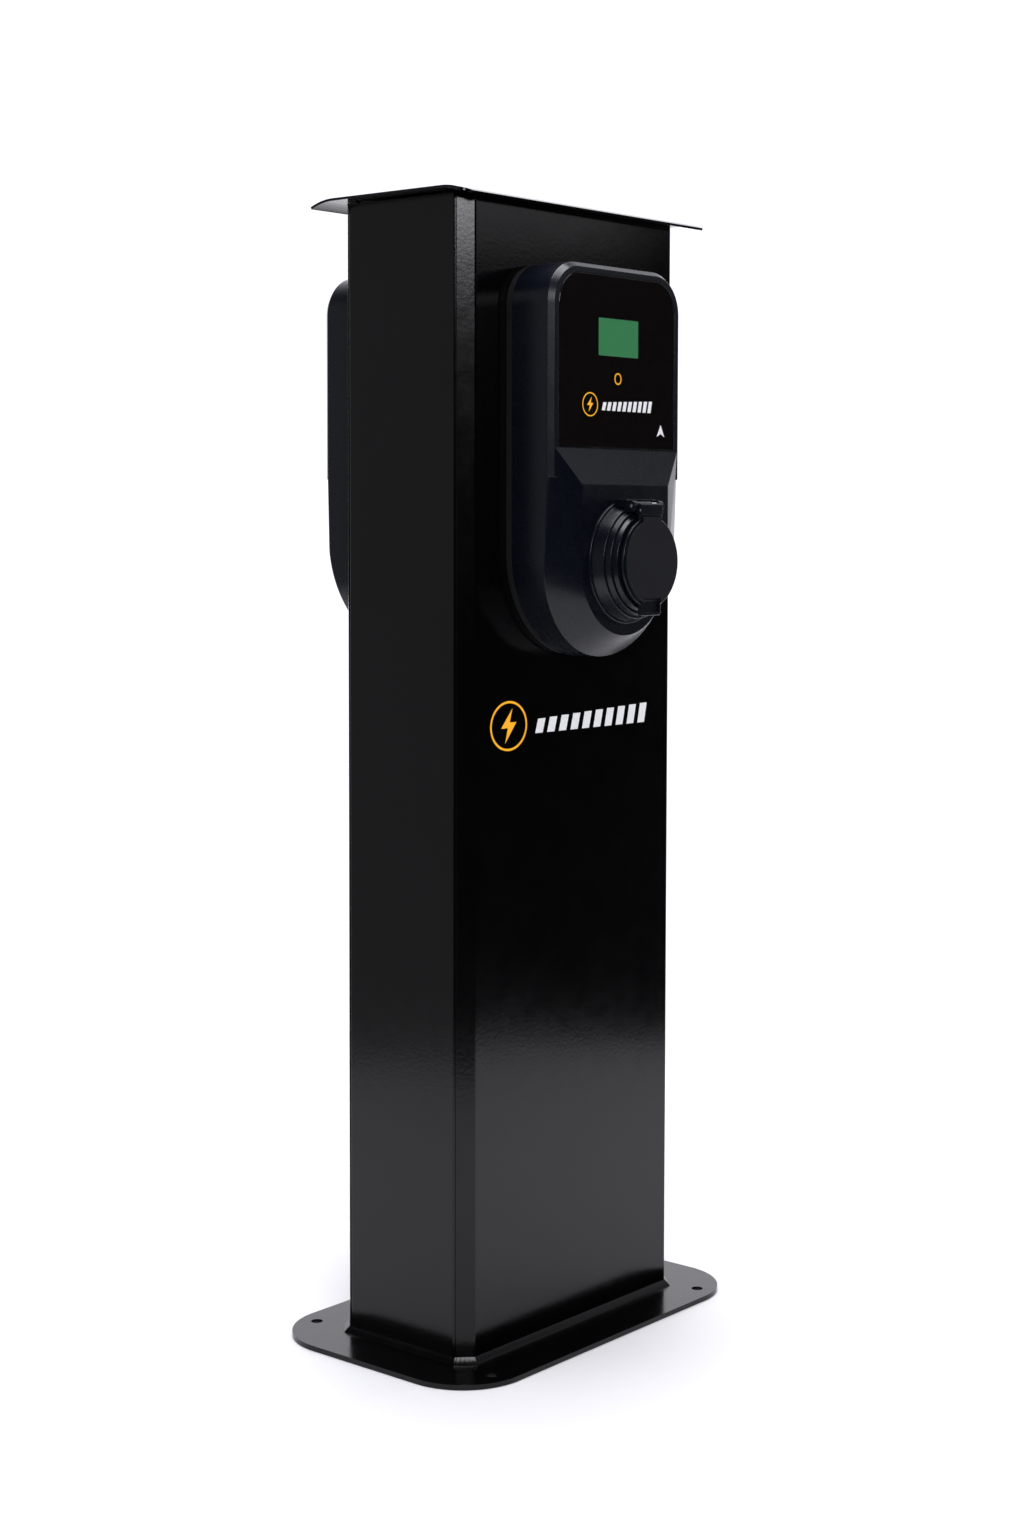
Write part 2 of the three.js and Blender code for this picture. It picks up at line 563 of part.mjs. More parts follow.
for (const [side, turn] of [['front', 0], ['rear', Math.PI]]) {
  const facing = turn === 0 ? -1 : 1;
  const middle = CHARGER_X[side];
  const wide = widePanel(middle);
  wide.scale(1, facing, 1);
  add(post, `${side}_panel`, outward(wide), BLACK_COAT);
  const rail = capRail();
  rail.scale(1, facing, 1);
  add(post, `${side}_cap_rail`, outward(rail), STEEL);

  const x = facing * BREAKER.x;
  add(post, `${side}_breaker`, breakerBody(), GREY_PLASTIC).position.x = x;
  add(post, `${side}_breaker_toggle`, breakerToggle(), BLACK_PLASTIC).position.x = x;
  const inside = facing * (POST.depth / 2 - 14 - 2 * GAP);
  const lead = [[middle, inside, GLAND.z], [middle, inside - facing * 14, GLAND.z],
    [middle + facing * 8, inside - facing * 36, GLAND.z - 40], [x * 0.5, -12, 700],
    [x, -8, 600], [x, -8, BREAKER.high + 20], [x, -8, BREAKER.high + 2 * GAP]]
    .map((p) => new THREE.Vector3(...p));
  add(post, `${side}_charger_lead`, tube(lead, LEAD, 8, 14), RUBBER);

  const charger = new THREE.Group();
  charger.position.set(middle, facing * POST.depth / 2, 0);
  charger.rotation.z = turn;
  add(charger, `${side}_back_plate`, backPlate(), BLACK_PLASTIC);
  add(charger, `${side}_cover`, cover(), SHELL);
  add(charger, `${side}_tray`, tray(), BLACK_PLASTIC);
  add(charger, `${side}_glass`, glass(), DARK_GLASS);
  add(charger, `${side}_display`, display(), GREEN_LCD);
  add(charger, `${side}_control_board`, controlBoard(), CIRCUIT_BOARD);
  add(charger, `${side}_contactor`, contactor(), GREY_PLASTIC);
  add(charger, `${side}_socket`, socket(), BLACK_PLASTIC);
  add(charger, `${side}_contact_block`, contactBlock(), BLACK_PLASTIC);
  add(charger, `${side}_collar`, collar(), SHELL);
  add(charger, `${side}_lid_seal`, lidSeal(), RUBBER);
  add(charger, `${side}_lid`, lid(), SHELL);
  add(charger, `${side}_hinge_bracket`, hingeBracket(), SHELL);
  add(charger, `${side}_hinge_pin`, hingePin(), STEEL);
  add(charger, `${side}_lid_spring`, lidSpring(), STEEL);
  add(charger, `${side}_lock_pin`, lockPin(), STEEL);
  add(charger, `${side}_lock_actuator`, lockActuator(), BLACK_PLASTIC);
  add(charger, `${side}_cable_gland`, cableGland(), BLACK_PLASTIC);
  post.add(charger);
}

export default post;
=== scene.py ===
"""EV charging post: the looks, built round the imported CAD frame. Lengths are in millimetres until placed."""
import json
import math
import bmesh
import bpy
from mathutils import Matrix, Vector


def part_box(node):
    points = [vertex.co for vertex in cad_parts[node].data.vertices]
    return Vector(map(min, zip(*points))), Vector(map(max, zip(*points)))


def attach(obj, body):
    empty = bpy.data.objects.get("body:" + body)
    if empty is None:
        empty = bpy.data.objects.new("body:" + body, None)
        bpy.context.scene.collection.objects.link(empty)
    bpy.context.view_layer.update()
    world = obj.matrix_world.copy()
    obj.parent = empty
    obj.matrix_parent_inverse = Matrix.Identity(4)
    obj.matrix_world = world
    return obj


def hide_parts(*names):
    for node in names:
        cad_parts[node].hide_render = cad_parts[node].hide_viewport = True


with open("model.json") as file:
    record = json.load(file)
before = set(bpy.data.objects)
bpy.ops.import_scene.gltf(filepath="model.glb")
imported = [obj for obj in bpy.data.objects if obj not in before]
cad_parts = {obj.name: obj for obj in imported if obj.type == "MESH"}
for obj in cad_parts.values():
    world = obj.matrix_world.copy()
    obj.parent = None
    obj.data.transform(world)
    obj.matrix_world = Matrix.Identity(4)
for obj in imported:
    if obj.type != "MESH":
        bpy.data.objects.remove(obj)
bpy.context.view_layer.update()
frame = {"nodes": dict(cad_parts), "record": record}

# ---------- driving sizes, from the frame where it has them ----------
MM = 0.001
SIDES = {"front": -1, "rear": 1}


def box_mm(node):
    """A CAD node's lowest and highest corner at rest, in millimetres."""
    low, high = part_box(node)
    return low / MM, high / MM


COVER_LOW, COVER_HIGH = box_mm("front_cover")
PANEL_LOW, PANEL_HIGH = box_mm("front_panel")
PLATE_LOW, PLATE_HIGH = box_mm("base_plate")
CAP_LOW, CAP_HIGH = box_mm("cap_plate")
GLASS_LOW, GLASS_HIGH = box_mm("front_glass")
DISPLAY_LOW, DISPLAY_HIGH = box_mm("front_display")
COLLAR_LOW, COLLAR_HIGH = box_mm("front_collar")
LID_LOW = box_mm("front_lid")[0]
PIN_LOW, PIN_HIGH = box_mm("front_hinge_pin")
BRACKET_LOW, BRACKET_HIGH = box_mm("front_hinge_bracket")
WELD_LOW, WELD_HIGH = box_mm("foot_weld")
SCREWS = [box_mm(f"access_screw_{i}") for i in range(1, 5)]

FACE = -PANEL_LOW.y                                # the wide face's distance from the middle
CHARGER_X = {side: sum(corner.x for corner in box_mm(f"{side}_cover")) / 2 for side in SIDES}
HALF_WIDTH = (COVER_HIGH.x - COVER_LOW.x) / 2
COVER_TOP = COVER_HIGH.z
COVER_BACK = -COVER_HIGH.y - FACE
FLAT_OUT = -COVER_LOW.y - FACE                     # the flat face round the socket
GLASS_OUT = -GLASS_LOW.y - FACE
GLASS_BACK = -GLASS_HIGH.y - FACE
GLASS_HALF = (GLASS_HIGH.x - GLASS_LOW.x) / 2
SOCKET_Z = (COLLAR_LOW.z + COLLAR_HIGH.z) / 2
COLLAR_BACK = -COLLAR_HIGH.y - FACE
COLLAR_FRONT = -COLLAR_LOW.y - FACE
LID_FRONT = -LID_LOW.y - FACE
HINGE_OUT = -(PIN_LOW.y + PIN_HIGH.y) / 2 - FACE
HINGE_Z = (PIN_LOW.z + PIN_HIGH.z) / 2
PIN_RADIUS = (PIN_HIGH.z - PIN_LOW.z) / 2

CORNER_RADIUS = 49
WALL = 3
WALL_OUT = 62
RIM_BEVEL = 5.5
U_OUTER_Z = COVER_LOW.z + HALF_WIDTH
U_SIDE_OUT = 60
U_BOTTOM_OUT = 46
U_INNER_HALF = 82
U_INNER_Z = 926
U_INNER_TOP = 1019
SLOPE_TOP = 1060
SLOPE_HALF = 116
SHOULDER = 1027
CURVE_STEPS = 96                                   # facets of the half circles round the socket
GLASS_RADIUS = 36.7
GLASS_GAP = 0.6
GLASS_LEDGE = 6
COLLAR_BORE = 36.2
COLLAR_STEPS = (                                   # radius at its back and front, and where it ends
    (72.5, 72.2, 84.8),
    (69, 66, 99.7),
    (62.8, 61.4, 106.2),
    (57.6, 56, 111.3),
)
SOCKET_BORE = 32.5
SOCKET_FLOOR = 6
LOCK_HOLE = 3.4
LOCK_OUT = 66                                      # how far out of the face the lock pin stands
CONTACTS = (                                       # across, up from the middle, radius
    (0, 0, 3.2),
    (-12, 0, 3.2),
    (12, 0, 3.2),
    (-7, -12.5, 3.2),
    (7, -12.5, 3.2),
    (-6.5, 11, 1.9),
    (6.5, 11, 1.9),
)
CONTACT_DEPTH = 24
LID_RADIUS = 52.5
LID_BACK = 113.6
LID_PANEL = (3.4, 982, 888)                        # how far inside the lid it lies, its top and its bottom
ARM_HALF = 21
ARM_TOP = 986
TAB_HALF = 19.5
GRIP_TOP = 885.6
KNUCKLE = 5.6
KNUCKLE_END = 8                                    # the knuckle stops here, and the spring has the rest
BRACKET_BACK = 85.7
BRACKET_FRONT = 102.8
BRACKET_FOOT = 984
EAR_INSIDE = 21.6
EAR_RADIUS = 6.6
PIN_REACH = 30                                     # half the length of the tool that bores for the pin

SHEET = 2.5
CHAMFER = 16
GLAND_HOLE = 12.8
SCREW_HOLE = 3.4
SCREW_HEAD = 3.2
PLATE_RADIUS = 82
ANCHORS = (200, 140, 7)                            # out along x and y, and the holes' radius
CABLE_ENTRY = (60, 40, 12)                         # half width, half depth, corner radius
CAP_BEND = (84, 90, 23.6)                          # where it starts, its radius and its angle
CAP_SHEET = 3
CAP_RELIEF = 13

# ---------- mesh tools ----------


def new_object(name, bm):
    """Turns a bmesh in millimetres into an object in metres."""
    bmesh.ops.recalc_face_normals(bm, faces=bm.faces)
    bmesh.ops.scale(bm, vec=(MM, MM, MM), verts=bm.verts)
    mesh = bpy.data.meshes.new(name)
    bm.to_mesh(mesh)
    bm.free()
    obj = bpy.data.objects.new(name, mesh)
    bpy.context.scene.collection.objects.link(obj)
    return obj


def arc(cx, cy, radius, start, end, steps):
    """Points along an arc, in degrees, both ends included."""
    angles = [math.radians(start + (end - start) * i / steps) for i in range(steps + 1)]
    return [(cx + radius * math.cos(a), cy + radius * math.sin(a)) for a in angles]


def circle(cx, cy, radius, steps):
    """Points round a full circle."""
    return arc(cx, cy, radius, 0, 360, steps)[:-1]


def rounded(half_x, low, high, radius, steps=16):
    """A rectangle with four rounded corners."""
    return (arc(half_x - radius, high - radius, radius, 0, 90, steps)
            + arc(-half_x + radius, high - radius, radius, 90, 180, steps)
            + arc(-half_x + radius, low + radius, radius, 180, 270, steps)
            + arc(half_x - radius, low + radius, radius, 270, 360, steps))


def arched(half_x, low, high, radius, steps=16):
    """Square at its lower corners and rounded at its upper ones."""
    return ([(-half_x, low), (half_x, low)] + arc(half_x - radius, high - radius, radius, 0, 90, steps)
            + arc(-half_x + radius, high - radius, radius, 90, 180, steps))


def filleted(corners, steps=6):
    """An outline with rounded corners. Each corner is (x, y, radius)."""
    points = []
    for i, (x, y, radius) in enumerate(corners):
        here = Vector((x, y))
        if radius == 0:
            points.append((x, y))
            continue
        back = (Vector(corners[i - 1][:2]) - here).normalized()
        ahead = (Vector(corners[(i + 1) % len(corners)][:2]) - here).normalized()
        half = back.angle(ahead) / 2
        centre = here + (back + ahead).normalized() * radius / math.sin(half)
        start = here + back * radius / math.tan(half) - centre
        end = here + ahead * radius / math.tan(half) - centre
        for step in range(steps + 1):
            points.append(tuple(centre + start.lerp(end, step / steps).normalized() * radius))
    return points


def loft(loops):
    """A closed solid through loops of equally many points, with flat ends."""
    bm = bmesh.new()
    rings = [[bm.verts.new(p) for p in loop] for loop in loops]
    count = len(rings[0])
    for lower, upper in zip(rings, rings[1:]):
        for i in range(count):
            j = (i + 1) % count
            bm.faces.new((lower[i], lower[j], upper[j], upper[i]))
    bm.faces.new(rings[0])
    bm.faces.new(rings[-1])
    return bm


def slab(outline, back, front):
    """An outline in x and z, from one distance out of the column's face to another."""
    return loft([[(x, -out, z) for x, z in outline] for out in (back, front)])


def upright(outline, low, high):
    """An outline in x and y, extruded upwards."""
    return loft([[(x, y, z) for x, y in outline] for z in (low, high)])


def along_x(outline, x0, x1):
    """An outline in out and z, extruded along x."""
    return loft([[(x, -out, z) for out, z in outline] for x in (x0, x1)])


def turned(profile, z, steps=96, x=0.0):
    """A turned solid whose axis points out of the column's face. Profile points are (radius, out)."""
    bm = bmesh.new()
    solid = profile[0][0] == 0
    rings = []
    for radius, out in profile:
        if radius == 0:
            rings.append([bm.verts.new((x, -out, z))])
        else:
            rings.append([bm.verts.new((x + px, -out, z + pz)) for px, pz in circle(0, 0, radius, steps)])
    pairs = list(zip(rings, rings[1:]))
    if not solid:
        pairs.append((rings[-1], rings[0]))
    for a, b in pairs:
        for i in range(steps):
            j = (i + 1) % steps
            if len(a) == 1:
                bm.faces.new((a[0], b[j], b[i]))
            elif len(b) == 1:
                bm.faces.new((a[i], a[j], b[0]))
            else:
                bm.faces.new((a[i], a[j], b[j], b[i]))
    return bm


def ring_of(rings):
    """A closed ring through closed cross-sections."""
    bm = bmesh.new()
    made = [[bm.verts.new(p) for p in ring] for ring in rings]
    count = len(made[0])
    for k, first in enumerate(made):
        second = made[(k + 1) % len(made)]
        for i in range(count):
            j = (i + 1) % count
            bm.faces.new((first[i], first[j], second[j], second[i]))
    return bm


def hull(points):
    """The smallest convex solid round a set of points."""
    bm = bmesh.new()
    for p in points:
        bm.verts.new(p)
    found = bmesh.ops.convex_hull(bm, input=bm.verts)
    bmesh.ops.delete(bm, geom=[v for v in found["geom_interior"] if isinstance(v, bmesh.types.BMVert)],
                     context="VERTS")
    bmesh.ops.dissolve_limit(bm, angle_limit=math.radians(0.3), verts=bm.verts, edges=bm.edges)
    return bm


def rod_x(radius, x0, x1, out, z, steps=48):
    """A rod along x."""
    return along_x(circle(out, z, radius, steps), x0, x1)


def rod_z(radius, z0, z1, x, y, steps=48):
    """An upright rod."""
    return upright(circle(x, y, radius, steps), z0, z1)


def block(x0, x1, out0, out1, z0, z1):
    """A box, from one distance out of the face to another."""
    return slab([(x0, z0), (x1, z0), (x1, z1), (x0, z1)], out0, out1)


def applied(obj):
    """Applies every modifier of an object to its mesh."""
    bpy.context.view_layer.update()
    graph = bpy.context.evaluated_depsgraph_get()
    mesh = bpy.data.meshes.new_from_object(obj.evaluated_get(graph))
    obj.modifiers.clear()
    obj.data = mesh
    return obj


def solid_from(obj):
    """Takes an object's mesh back out as a bmesh in millimetres, and removes the object."""
    bm = bmesh.new()
    bm.from_mesh(obj.data)
    bmesh.ops.scale(bm, vec=(1 / MM,) * 3, verts=bm.verts)
    bpy.data.objects.remove(obj)
    return bm


def combine(obj, bm, operation):
    """Joins a solid to an object, or cuts it out of it."""
    tool = new_object("tool", bm)
    modifier = obj.modifiers.new("combine", "BOOLEAN")
    modifier.operation = operation
    modifier.solver = "EXACT"
    modifier.object = tool
    applied(obj)
    bpy.data.objects.remove(tool)
    return obj


def cut(obj, *tools):
    for bm in tools:
        combine(obj, bm, "DIFFERENCE")
    return obj


def join(obj, *tools):
    for bm in tools:
        combine(obj, bm, "UNION")
    return obj


def smooth(obj, angle=35):
    """Shades shallow facets smooth, and keeps the large flat faces flat right up to their rounded edges."""
    obj.data.shade_smooth()
    obj.data.set_sharp_from_angle(angle=math.radians(angle))
    weighted = obj.modifiers.new("weighted", "WEIGHTED_NORMAL")
    weighted.weight = 100
    weighted.keep_sharp = True
    return applied(obj)


def rounded_edges(obj, width, segments=3, angle=24, smooth_angle=30):
    """Rounds the edges that turn more than an angle."""
    bm = bmesh.new()
    bm.from_mesh(obj.data)
    bmesh.ops.remove_doubles(bm, verts=bm.verts, dist=0.00001)
    bmesh.ops.dissolve_limit(bm, angle_limit=math.radians(0.2), verts=bm.verts, edges=bm.edges)
    bm.to_mesh(obj.data)
    bm.free()
    bevel = obj.modifiers.new("bevel", "BEVEL")
    bevel.width = width * MM
    bevel.segments = segments
    bevel.limit_method = "ANGLE"
    bevel.angle_limit = math.radians(angle)
    bevel.use_clamp_overlap = True
    return smooth(applied(obj), smooth_angle)


def painted(obj, material):
    obj.data.materials.clear()
    obj.data.materials.append(material)
    return obj


# ---------- materials ----------


def shader(name, **sockets):
    """A new material and its Principled shader, with plain values set on the shader's own sockets."""
    material = bpy.data.materials.new(name)
    material.use_nodes = True
    principled = material.node_tree.nodes["Principled BSDF"]
    for key, value in sockets.items():
        principled.inputs[key.replace("_", " ")].default_value = value
    return material, principled


def noise(material, scale, detail=2.0, roughness=0.5, stretch=(1, 1, 1)):
    """A noise texture in object space: scale is features per metre."""
    nodes, links = material.node_tree.nodes, material.node_tree.links
    coordinates = nodes.new("ShaderNodeTexCoord")
    mapping = nodes.new("ShaderNodeMapping")
    mapping.inputs["Scale"].default_value = stretch
    texture = nodes.new("ShaderNodeTexNoise")
    texture.inputs["Scale"].default_value = scale
    texture.inputs["Detail"].default_value = detail
    texture.inputs["Roughness"].default_value = roughness
    links.new(coordinates.outputs["Object"], mapping.inputs["Vector"])
    links.new(mapping.outputs["Vector"], texture.inputs["Vector"])
    return texture.outputs["Fac"]


def remap(material, source, from_low, from_high, to_low, to_high):
    node = material.node_tree.nodes.new("ShaderNodeMapRange")
    node.inputs["From Min"].default_value = from_low
    node.inputs["From Max"].default_value = from_high
    node.inputs["To Min"].default_value = to_low
    node.inputs["To Max"].default_value = to_high
    material.node_tree.links.new(source, node.inputs["Value"])
    return node.outputs["Result"]


def two_tone(material, principled, factor, dark, light):
    """Varies the base colour between two tones."""
    node = material.node_tree.nodes.new("ShaderNodeMix")
    node.data_type = "RGBA"
    node.inputs[6].default_value = (*dark, 1)
    node.inputs[7].default_value = (*light, 1)
    material.node_tree.links.new(factor, node.inputs[0])
    material.node_tree.links.new(node.outputs[2], principled.inputs["Base Color"])


def bump(material, principled, height, strength, distance_mm, before=None):
    node = material.node_tree.nodes.new("ShaderNodeBump")
    node.inputs["Strength"].default_value = strength
    node.inputs["Distance"].default_value = distance_mm * MM
    links = material.node_tree.links
    links.new(height, node.inputs["Height"])
    if before is not None:
        links.new(before.outputs["Normal"], node.inputs["Normal"])
    links.new(node.outputs["Normal"], principled.inputs["Normal"])
    return node


def surface(name, dark, light, rough, texture, strength, depth_mm, **sockets):
    """A finish with a slow drift of tone and roughness and a fine surface texture.

    rough is (low, high), and texture is the fine relief's features per metre.
    """
    material, principled = shader(name, **sockets)
    drift = noise(material, 6.0, 3.0)
    two_tone(material, principled, remap(material, drift, 0.35, 0.65, 0, 1), dark, light)
    patchy = noise(material, 45.0, 4.0, 0.6)
    roughness = remap(material, patchy, 0.3, 0.7, *rough)
    material.node_tree.links.new(roughness, principled.inputs["Roughness"])
    coarse = bump(material, principled, noise(material, texture, 1.5), strength, depth_mm)
    bump(material, principled, noise(material, texture * 2.7, 2.0), strength * 0.4, depth_mm * 0.5, coarse)
    return material


def powder_coat():
    """Black semi-gloss powder coat with its orange peel."""
    return surface("black_coat", (0.0008, 0.0008, 0.001), (0.0013, 0.0013, 0.0016), (0.13, 0.17),
                   210.0, 0.3, 0.16, Specular_IOR_Level=0.29)


def plate_coat():
    """The same coat on the floor plate, where it is a little rougher."""
    return surface("black_coat_plate", (0.001, 0.001, 0.0012), (0.0016, 0.0016, 0.0019), (0.17, 0.22),
                   210.0, 0.3, 0.14, Specular_IOR_Level=0.27)


def moulded_shell():
    """Blue-black moulded plastic with a fine spark-eroded grain."""
    return surface("shell", (0.0028, 0.004, 0.0076), (0.0036, 0.005, 0.0094), (0.25, 0.29),
                   1300.0, 0.05, 0.05, Specular_IOR_Level=0.31)


def lid_plastic():
    """The lid panel's plastic: more matt than the shell, with its colour painted a little paler, a lit copy of
    the shell's tone that sets the raised panel off against its shaded rim.
    """
    return surface("lid_plastic", (0.0058, 0.0062, 0.0098), (0.0072, 0.0077, 0.0118), (0.4, 0.45),
                   1300.0, 0.06, 0.05, Specular_IOR_Level=0.28)


def black_plastic():
    """Plain matt black plastic."""
    return surface("black_plastic", (0.005, 0.005, 0.0055), (0.0075, 0.0075, 0.008), (0.5, 0.6),
                   1200.0, 0.25, 0.08)


def grey_plastic():
    """Light grey plastic, as on breakers and terminals."""
    return surface("grey_plastic", (0.4, 0.41, 0.42), (0.47, 0.48, 0.49), (0.42, 0.5), 1400.0, 0.2, 0.06)


def rubber():
    """Dull black rubber."""
    return surface("rubber", (0.008, 0.008, 0.008), (0.013, 0.013, 0.0135), (0.62, 0.75), 900.0, 0.3, 0.1)


def dark_glass():
    """The glossy window panel: back-printed black with a faint warm tone."""
    material, principled = shader("dark_glass", Specular_IOR_Level=0.5, Coat_Weight=0.6, Coat_Roughness=0.03)
    drift = noise(material, 9.0, 3.0)
    two_tone(material, principled, drift, (0.0046, 0.0036, 0.0033), (0.0062, 0.0051, 0.0047))
    roughness = remap(material, noise(material, 30.0, 5.0, 0.65), 0.35, 0.75, 0.05, 0.1)
    material.node_tree.links.new(roughness, principled.inputs["Roughness"])
    bump(material, principled, noise(material, 14.0, 1.0), 0.05, 0.4)
    return material


DOT_PITCH = 0.9


def green_display():
    """A lit green liquid crystal display with its fine dot grid."""
    material, principled = shader("green_display", Specular_IOR_Level=0.5, Coat_Weight=0.8,
                                  Coat_Roughness=0.04, Emission_Strength=0.55)
    nodes, links = material.node_tree.nodes, material.node_tree.links
    coordinates = nodes.new("ShaderNodeTexCoord")
    separate = nodes.new("ShaderNodeSeparateXYZ")
    links.new(coordinates.outputs["Object"], separate.inputs["Vector"])
    lines = []
    for axis in ("X", "Z"):
        scaled = nodes.new("ShaderNodeMath")
        scaled.operation = "MULTIPLY"
        scaled.inputs[1].default_value = 1 / (DOT_PITCH * MM)
        links.new(separate.outputs[axis], scaled.inputs[0])
        part = nodes.new("ShaderNodeMath")
        part.operation = "PINGPONG"
        part.inputs[1].default_value = 0.5
        links.new(scaled.outputs[0], part.inputs[0])
        lines.append(remap(material, part.outputs[0], 0.0, 0.12, 0.0, 1.0))
    grid = nodes.new("ShaderNodeMath")
    grid.operation = "MULTIPLY"
    links.new(lines[0], grid.inputs[0])
    links.new(lines[1], grid.inputs[1])
    two_tone(material, principled, grid.outputs[0], (0.022, 0.105, 0.042), (0.03, 0.135, 0.054))
    glow = nodes.new("ShaderNodeMix")
    glow.data_type = "RGBA"
    glow.inputs[6].default_value = (0.035, 0.17, 0.07, 1)
    glow.inputs[7].default_value = (0.045, 0.215, 0.088, 1)
    links.new(grid.outputs[0], glow.inputs[0])
    links.new(glow.outputs[2], principled.inputs["Emission Color"])
    links.new(remap(material, noise(material, 60.0), 0.3, 0.7, 0.1, 0.16), principled.inputs["Roughness"])
    return material


def print_ink(name, dark, light, glow):
    """Retroreflective ink: nearly flat, with a faint mottle; its emission is a painted glow that stands in for
    the light the ink sends back.
    """
    return surface(name, dark, light, (0.4, 0.5), 2600.0, 0.15, 0.03, Emission_Color=(*light, 1),
                   Emission_Strength=glow)


def metal(name, dark, light, rough, stretch):
    """Plated or machined metal with brushing along one direction."""
    material, principled = shader(name, Metallic=1.0)
    grain = noise(material, 500.0, 3.0, 0.6, stretch)
    two_tone(material, principled, grain, dark, light)
    material.node_tree.links.new(remap(material, grain, 0.3, 0.7, *rough), principled.inputs["Roughness"])
    bump(material, principled, grain, 0.12, 0.05)
    return material


def circuit_board():
    """Green solder resist with fine tracks."""
    material, principled = shader("circuit_board", Specular_IOR_Level=0.5, Coat_Weight=0.3)
    nodes, links = material.node_tree.nodes, material.node_tree.links
    tracks = nodes.new("ShaderNodeTexBrick")
    tracks.inputs["Scale"].default_value = 90.0
    tracks.inputs["Color1"].default_value = (0.012, 0.075, 0.03, 1)
    tracks.inputs["Color2"].default_value = (0.02, 0.12, 0.05, 1)
    tracks.inputs["Mortar"].default_value = (0.05, 0.2, 0.09, 1)
    coordinates = nodes.new("ShaderNodeTexCoord")
    mapping = nodes.new("ShaderNodeMapping")
    mapping.inputs["Rotation"].default_value = (math.radians(90), 0, 0)
    links.new(coordinates.outputs["Object"], mapping.inputs["Vector"])
    links.new(mapping.outputs["Vector"], tracks.inputs["Vector"])
    links.new(tracks.outputs["Color"], principled.inputs["Base Color"])
    links.new(remap(material, noise(material, 80.0), 0.3, 0.7, 0.3, 0.45), principled.inputs["Roughness"])
    bump(material, principled, tracks.outputs["Fac"], 0.4, 0.1)
    return material


MATERIALS = {
    "black_coat": powder_coat(),
    "plate_coat": plate_coat(),
    "shell": moulded_shell(),
    "lid_plastic": lid_plastic(),
    "black_plastic": black_plastic(),
    "dark_glass": dark_glass(),
    "green_display": green_display(),
    # the last number of each ink is the strength of its painted glow, an emission that stands in for light
    "white_ink": print_ink("white_ink", (0.66, 0.66, 0.68), (0.74, 0.74, 0.76), 0.45),
    "orange_ink": print_ink("orange_ink", (0.84, 0.36, 0.01), (0.9, 0.42, 0.014), 0.5),
    "steel": metal("steel", (0.42, 0.43, 0.44), (0.56, 0.57, 0.58), (0.24, 0.4), (1, 8, 8)),
    "brass": metal("brass", (0.5, 0.32, 0.14), (0.66, 0.44, 0.2), (0.25, 0.4), (1, 8, 8)),
    "grey_plastic": grey_plastic(),
    "rubber": rubber(),
    "circuit_board": circuit_board(),
}

# ---------- chargers ----------


def upper_outline(inset, low):
    """The charger's outline above a height."""
    return arched(HALF_WIDTH - inset, low, COVER_TOP - inset, CORNER_RADIUS - inset, 24)


def shield_outline(inset):
    """The whole outline: rounded at the top, a half circle at the bottom."""
    lower = arc(0, U_OUTER_Z, HALF_WIDTH - inset, 180, 360, CURVE_STEPS)
    return upper_outline(inset, U_OUTER_Z)[2:] + lower


def upper_block(inset, back):
    """The part behind the glass, with its bevelled rim."""
    wall = upper_outline(inset, SHOULDER)
    rim = upper_outline(inset + RIM_BEVEL, SHOULDER)
    return hull([(x, -back, z) for x, z in wall] + [(x, -(WALL_OUT - inset), z) for x, z in wall]
                + [(x, -(GLASS_OUT - inset), z) for x, z in rim])


def lower_boss(inset, back):
    """The boss round the socket: a broad bevel from the outer U up to the inner U."""
    radius = HALF_WIDTH - inset
    points = []
    for x, z in arc(0, U_OUTER_Z, radius, 180, 360, CURVE_STEPS):
        drop = (U_OUTER_Z - z) / radius
        edge = U_SIDE_OUT + (U_BOTTOM_OUT - U_SIDE_OUT) * drop - inset
        points += [(x, -back, z), (x, -edge, z)]
    inner = arc(0, U_INNER_Z, U_INNER_HALF - inset, 180, 360, CURVE_STEPS)
    points += [(x, -(FLAT_OUT - inset), z) for x, z in inner]
    for side in (-1, 1):
        points += [(side * (U_INNER_HALF - inset), -(FLAT_OUT - inset), U_INNER_TOP - inset),
                   (side * radius, -(WALL_OUT - inset), SHOULDER), (side * radius, -back, SHOULDER),
                   (side * (SLOPE_HALF - inset), -(GLASS_OUT - inset), SLOPE_TOP - inset),
                   (side * (SLOPE_HALF - inset), -back, SLOPE_TOP - inset)]
    return hull(points)


def make_cover():
    """The hollow moulding: a pocket for the glass, a window for the display, a hole for the socket."""
    cover = join(new_object("cover", upper_block(0, COVER_BACK)), lower_boss(0, COVER_BACK))
    pocket = slab(arched(GLASS_HALF + GLASS_GAP, GLASS_LOW.z - GLASS_GAP, GLASS_HIGH.z + GLASS_GAP,
                         GLASS_RADIUS + GLASS_GAP), GLASS_BACK - 0.3, GLASS_OUT + 9)
    rounded_edges(cut(cover, pocket), 1.4, 4, 14, 20)
    cavity = join(new_object("cavity", upper_block(WALL, COVER_BACK - 5)), lower_boss(WALL, COVER_BACK - 5))
    ledge = slab(arched(GLASS_HALF + GLASS_LEDGE, GLASS_LOW.z - GLASS_LEDGE, GLASS_HIGH.z + GLASS_LEDGE,
                        GLASS_RADIUS + GLASS_LEDGE - 1), GLASS_BACK - 2.8, GLASS_OUT + 9)
    hollow = solid_from(cut(cavity, ledge))
    half = (DISPLAY_HIGH.x - DISPLAY_LOW.x) / 2
    window = slab(rounded(half + 1, DISPLAY_LOW.z - 1, DISPLAY_HIGH.z + 1, 3, 4), 50, GLASS_OUT)
    hole = slab(circle(0, SOCKET_Z, COLLAR_BORE, 96), 60, 90)
    cut(cover, hollow, window, hole)
    return smooth(cover, 20)


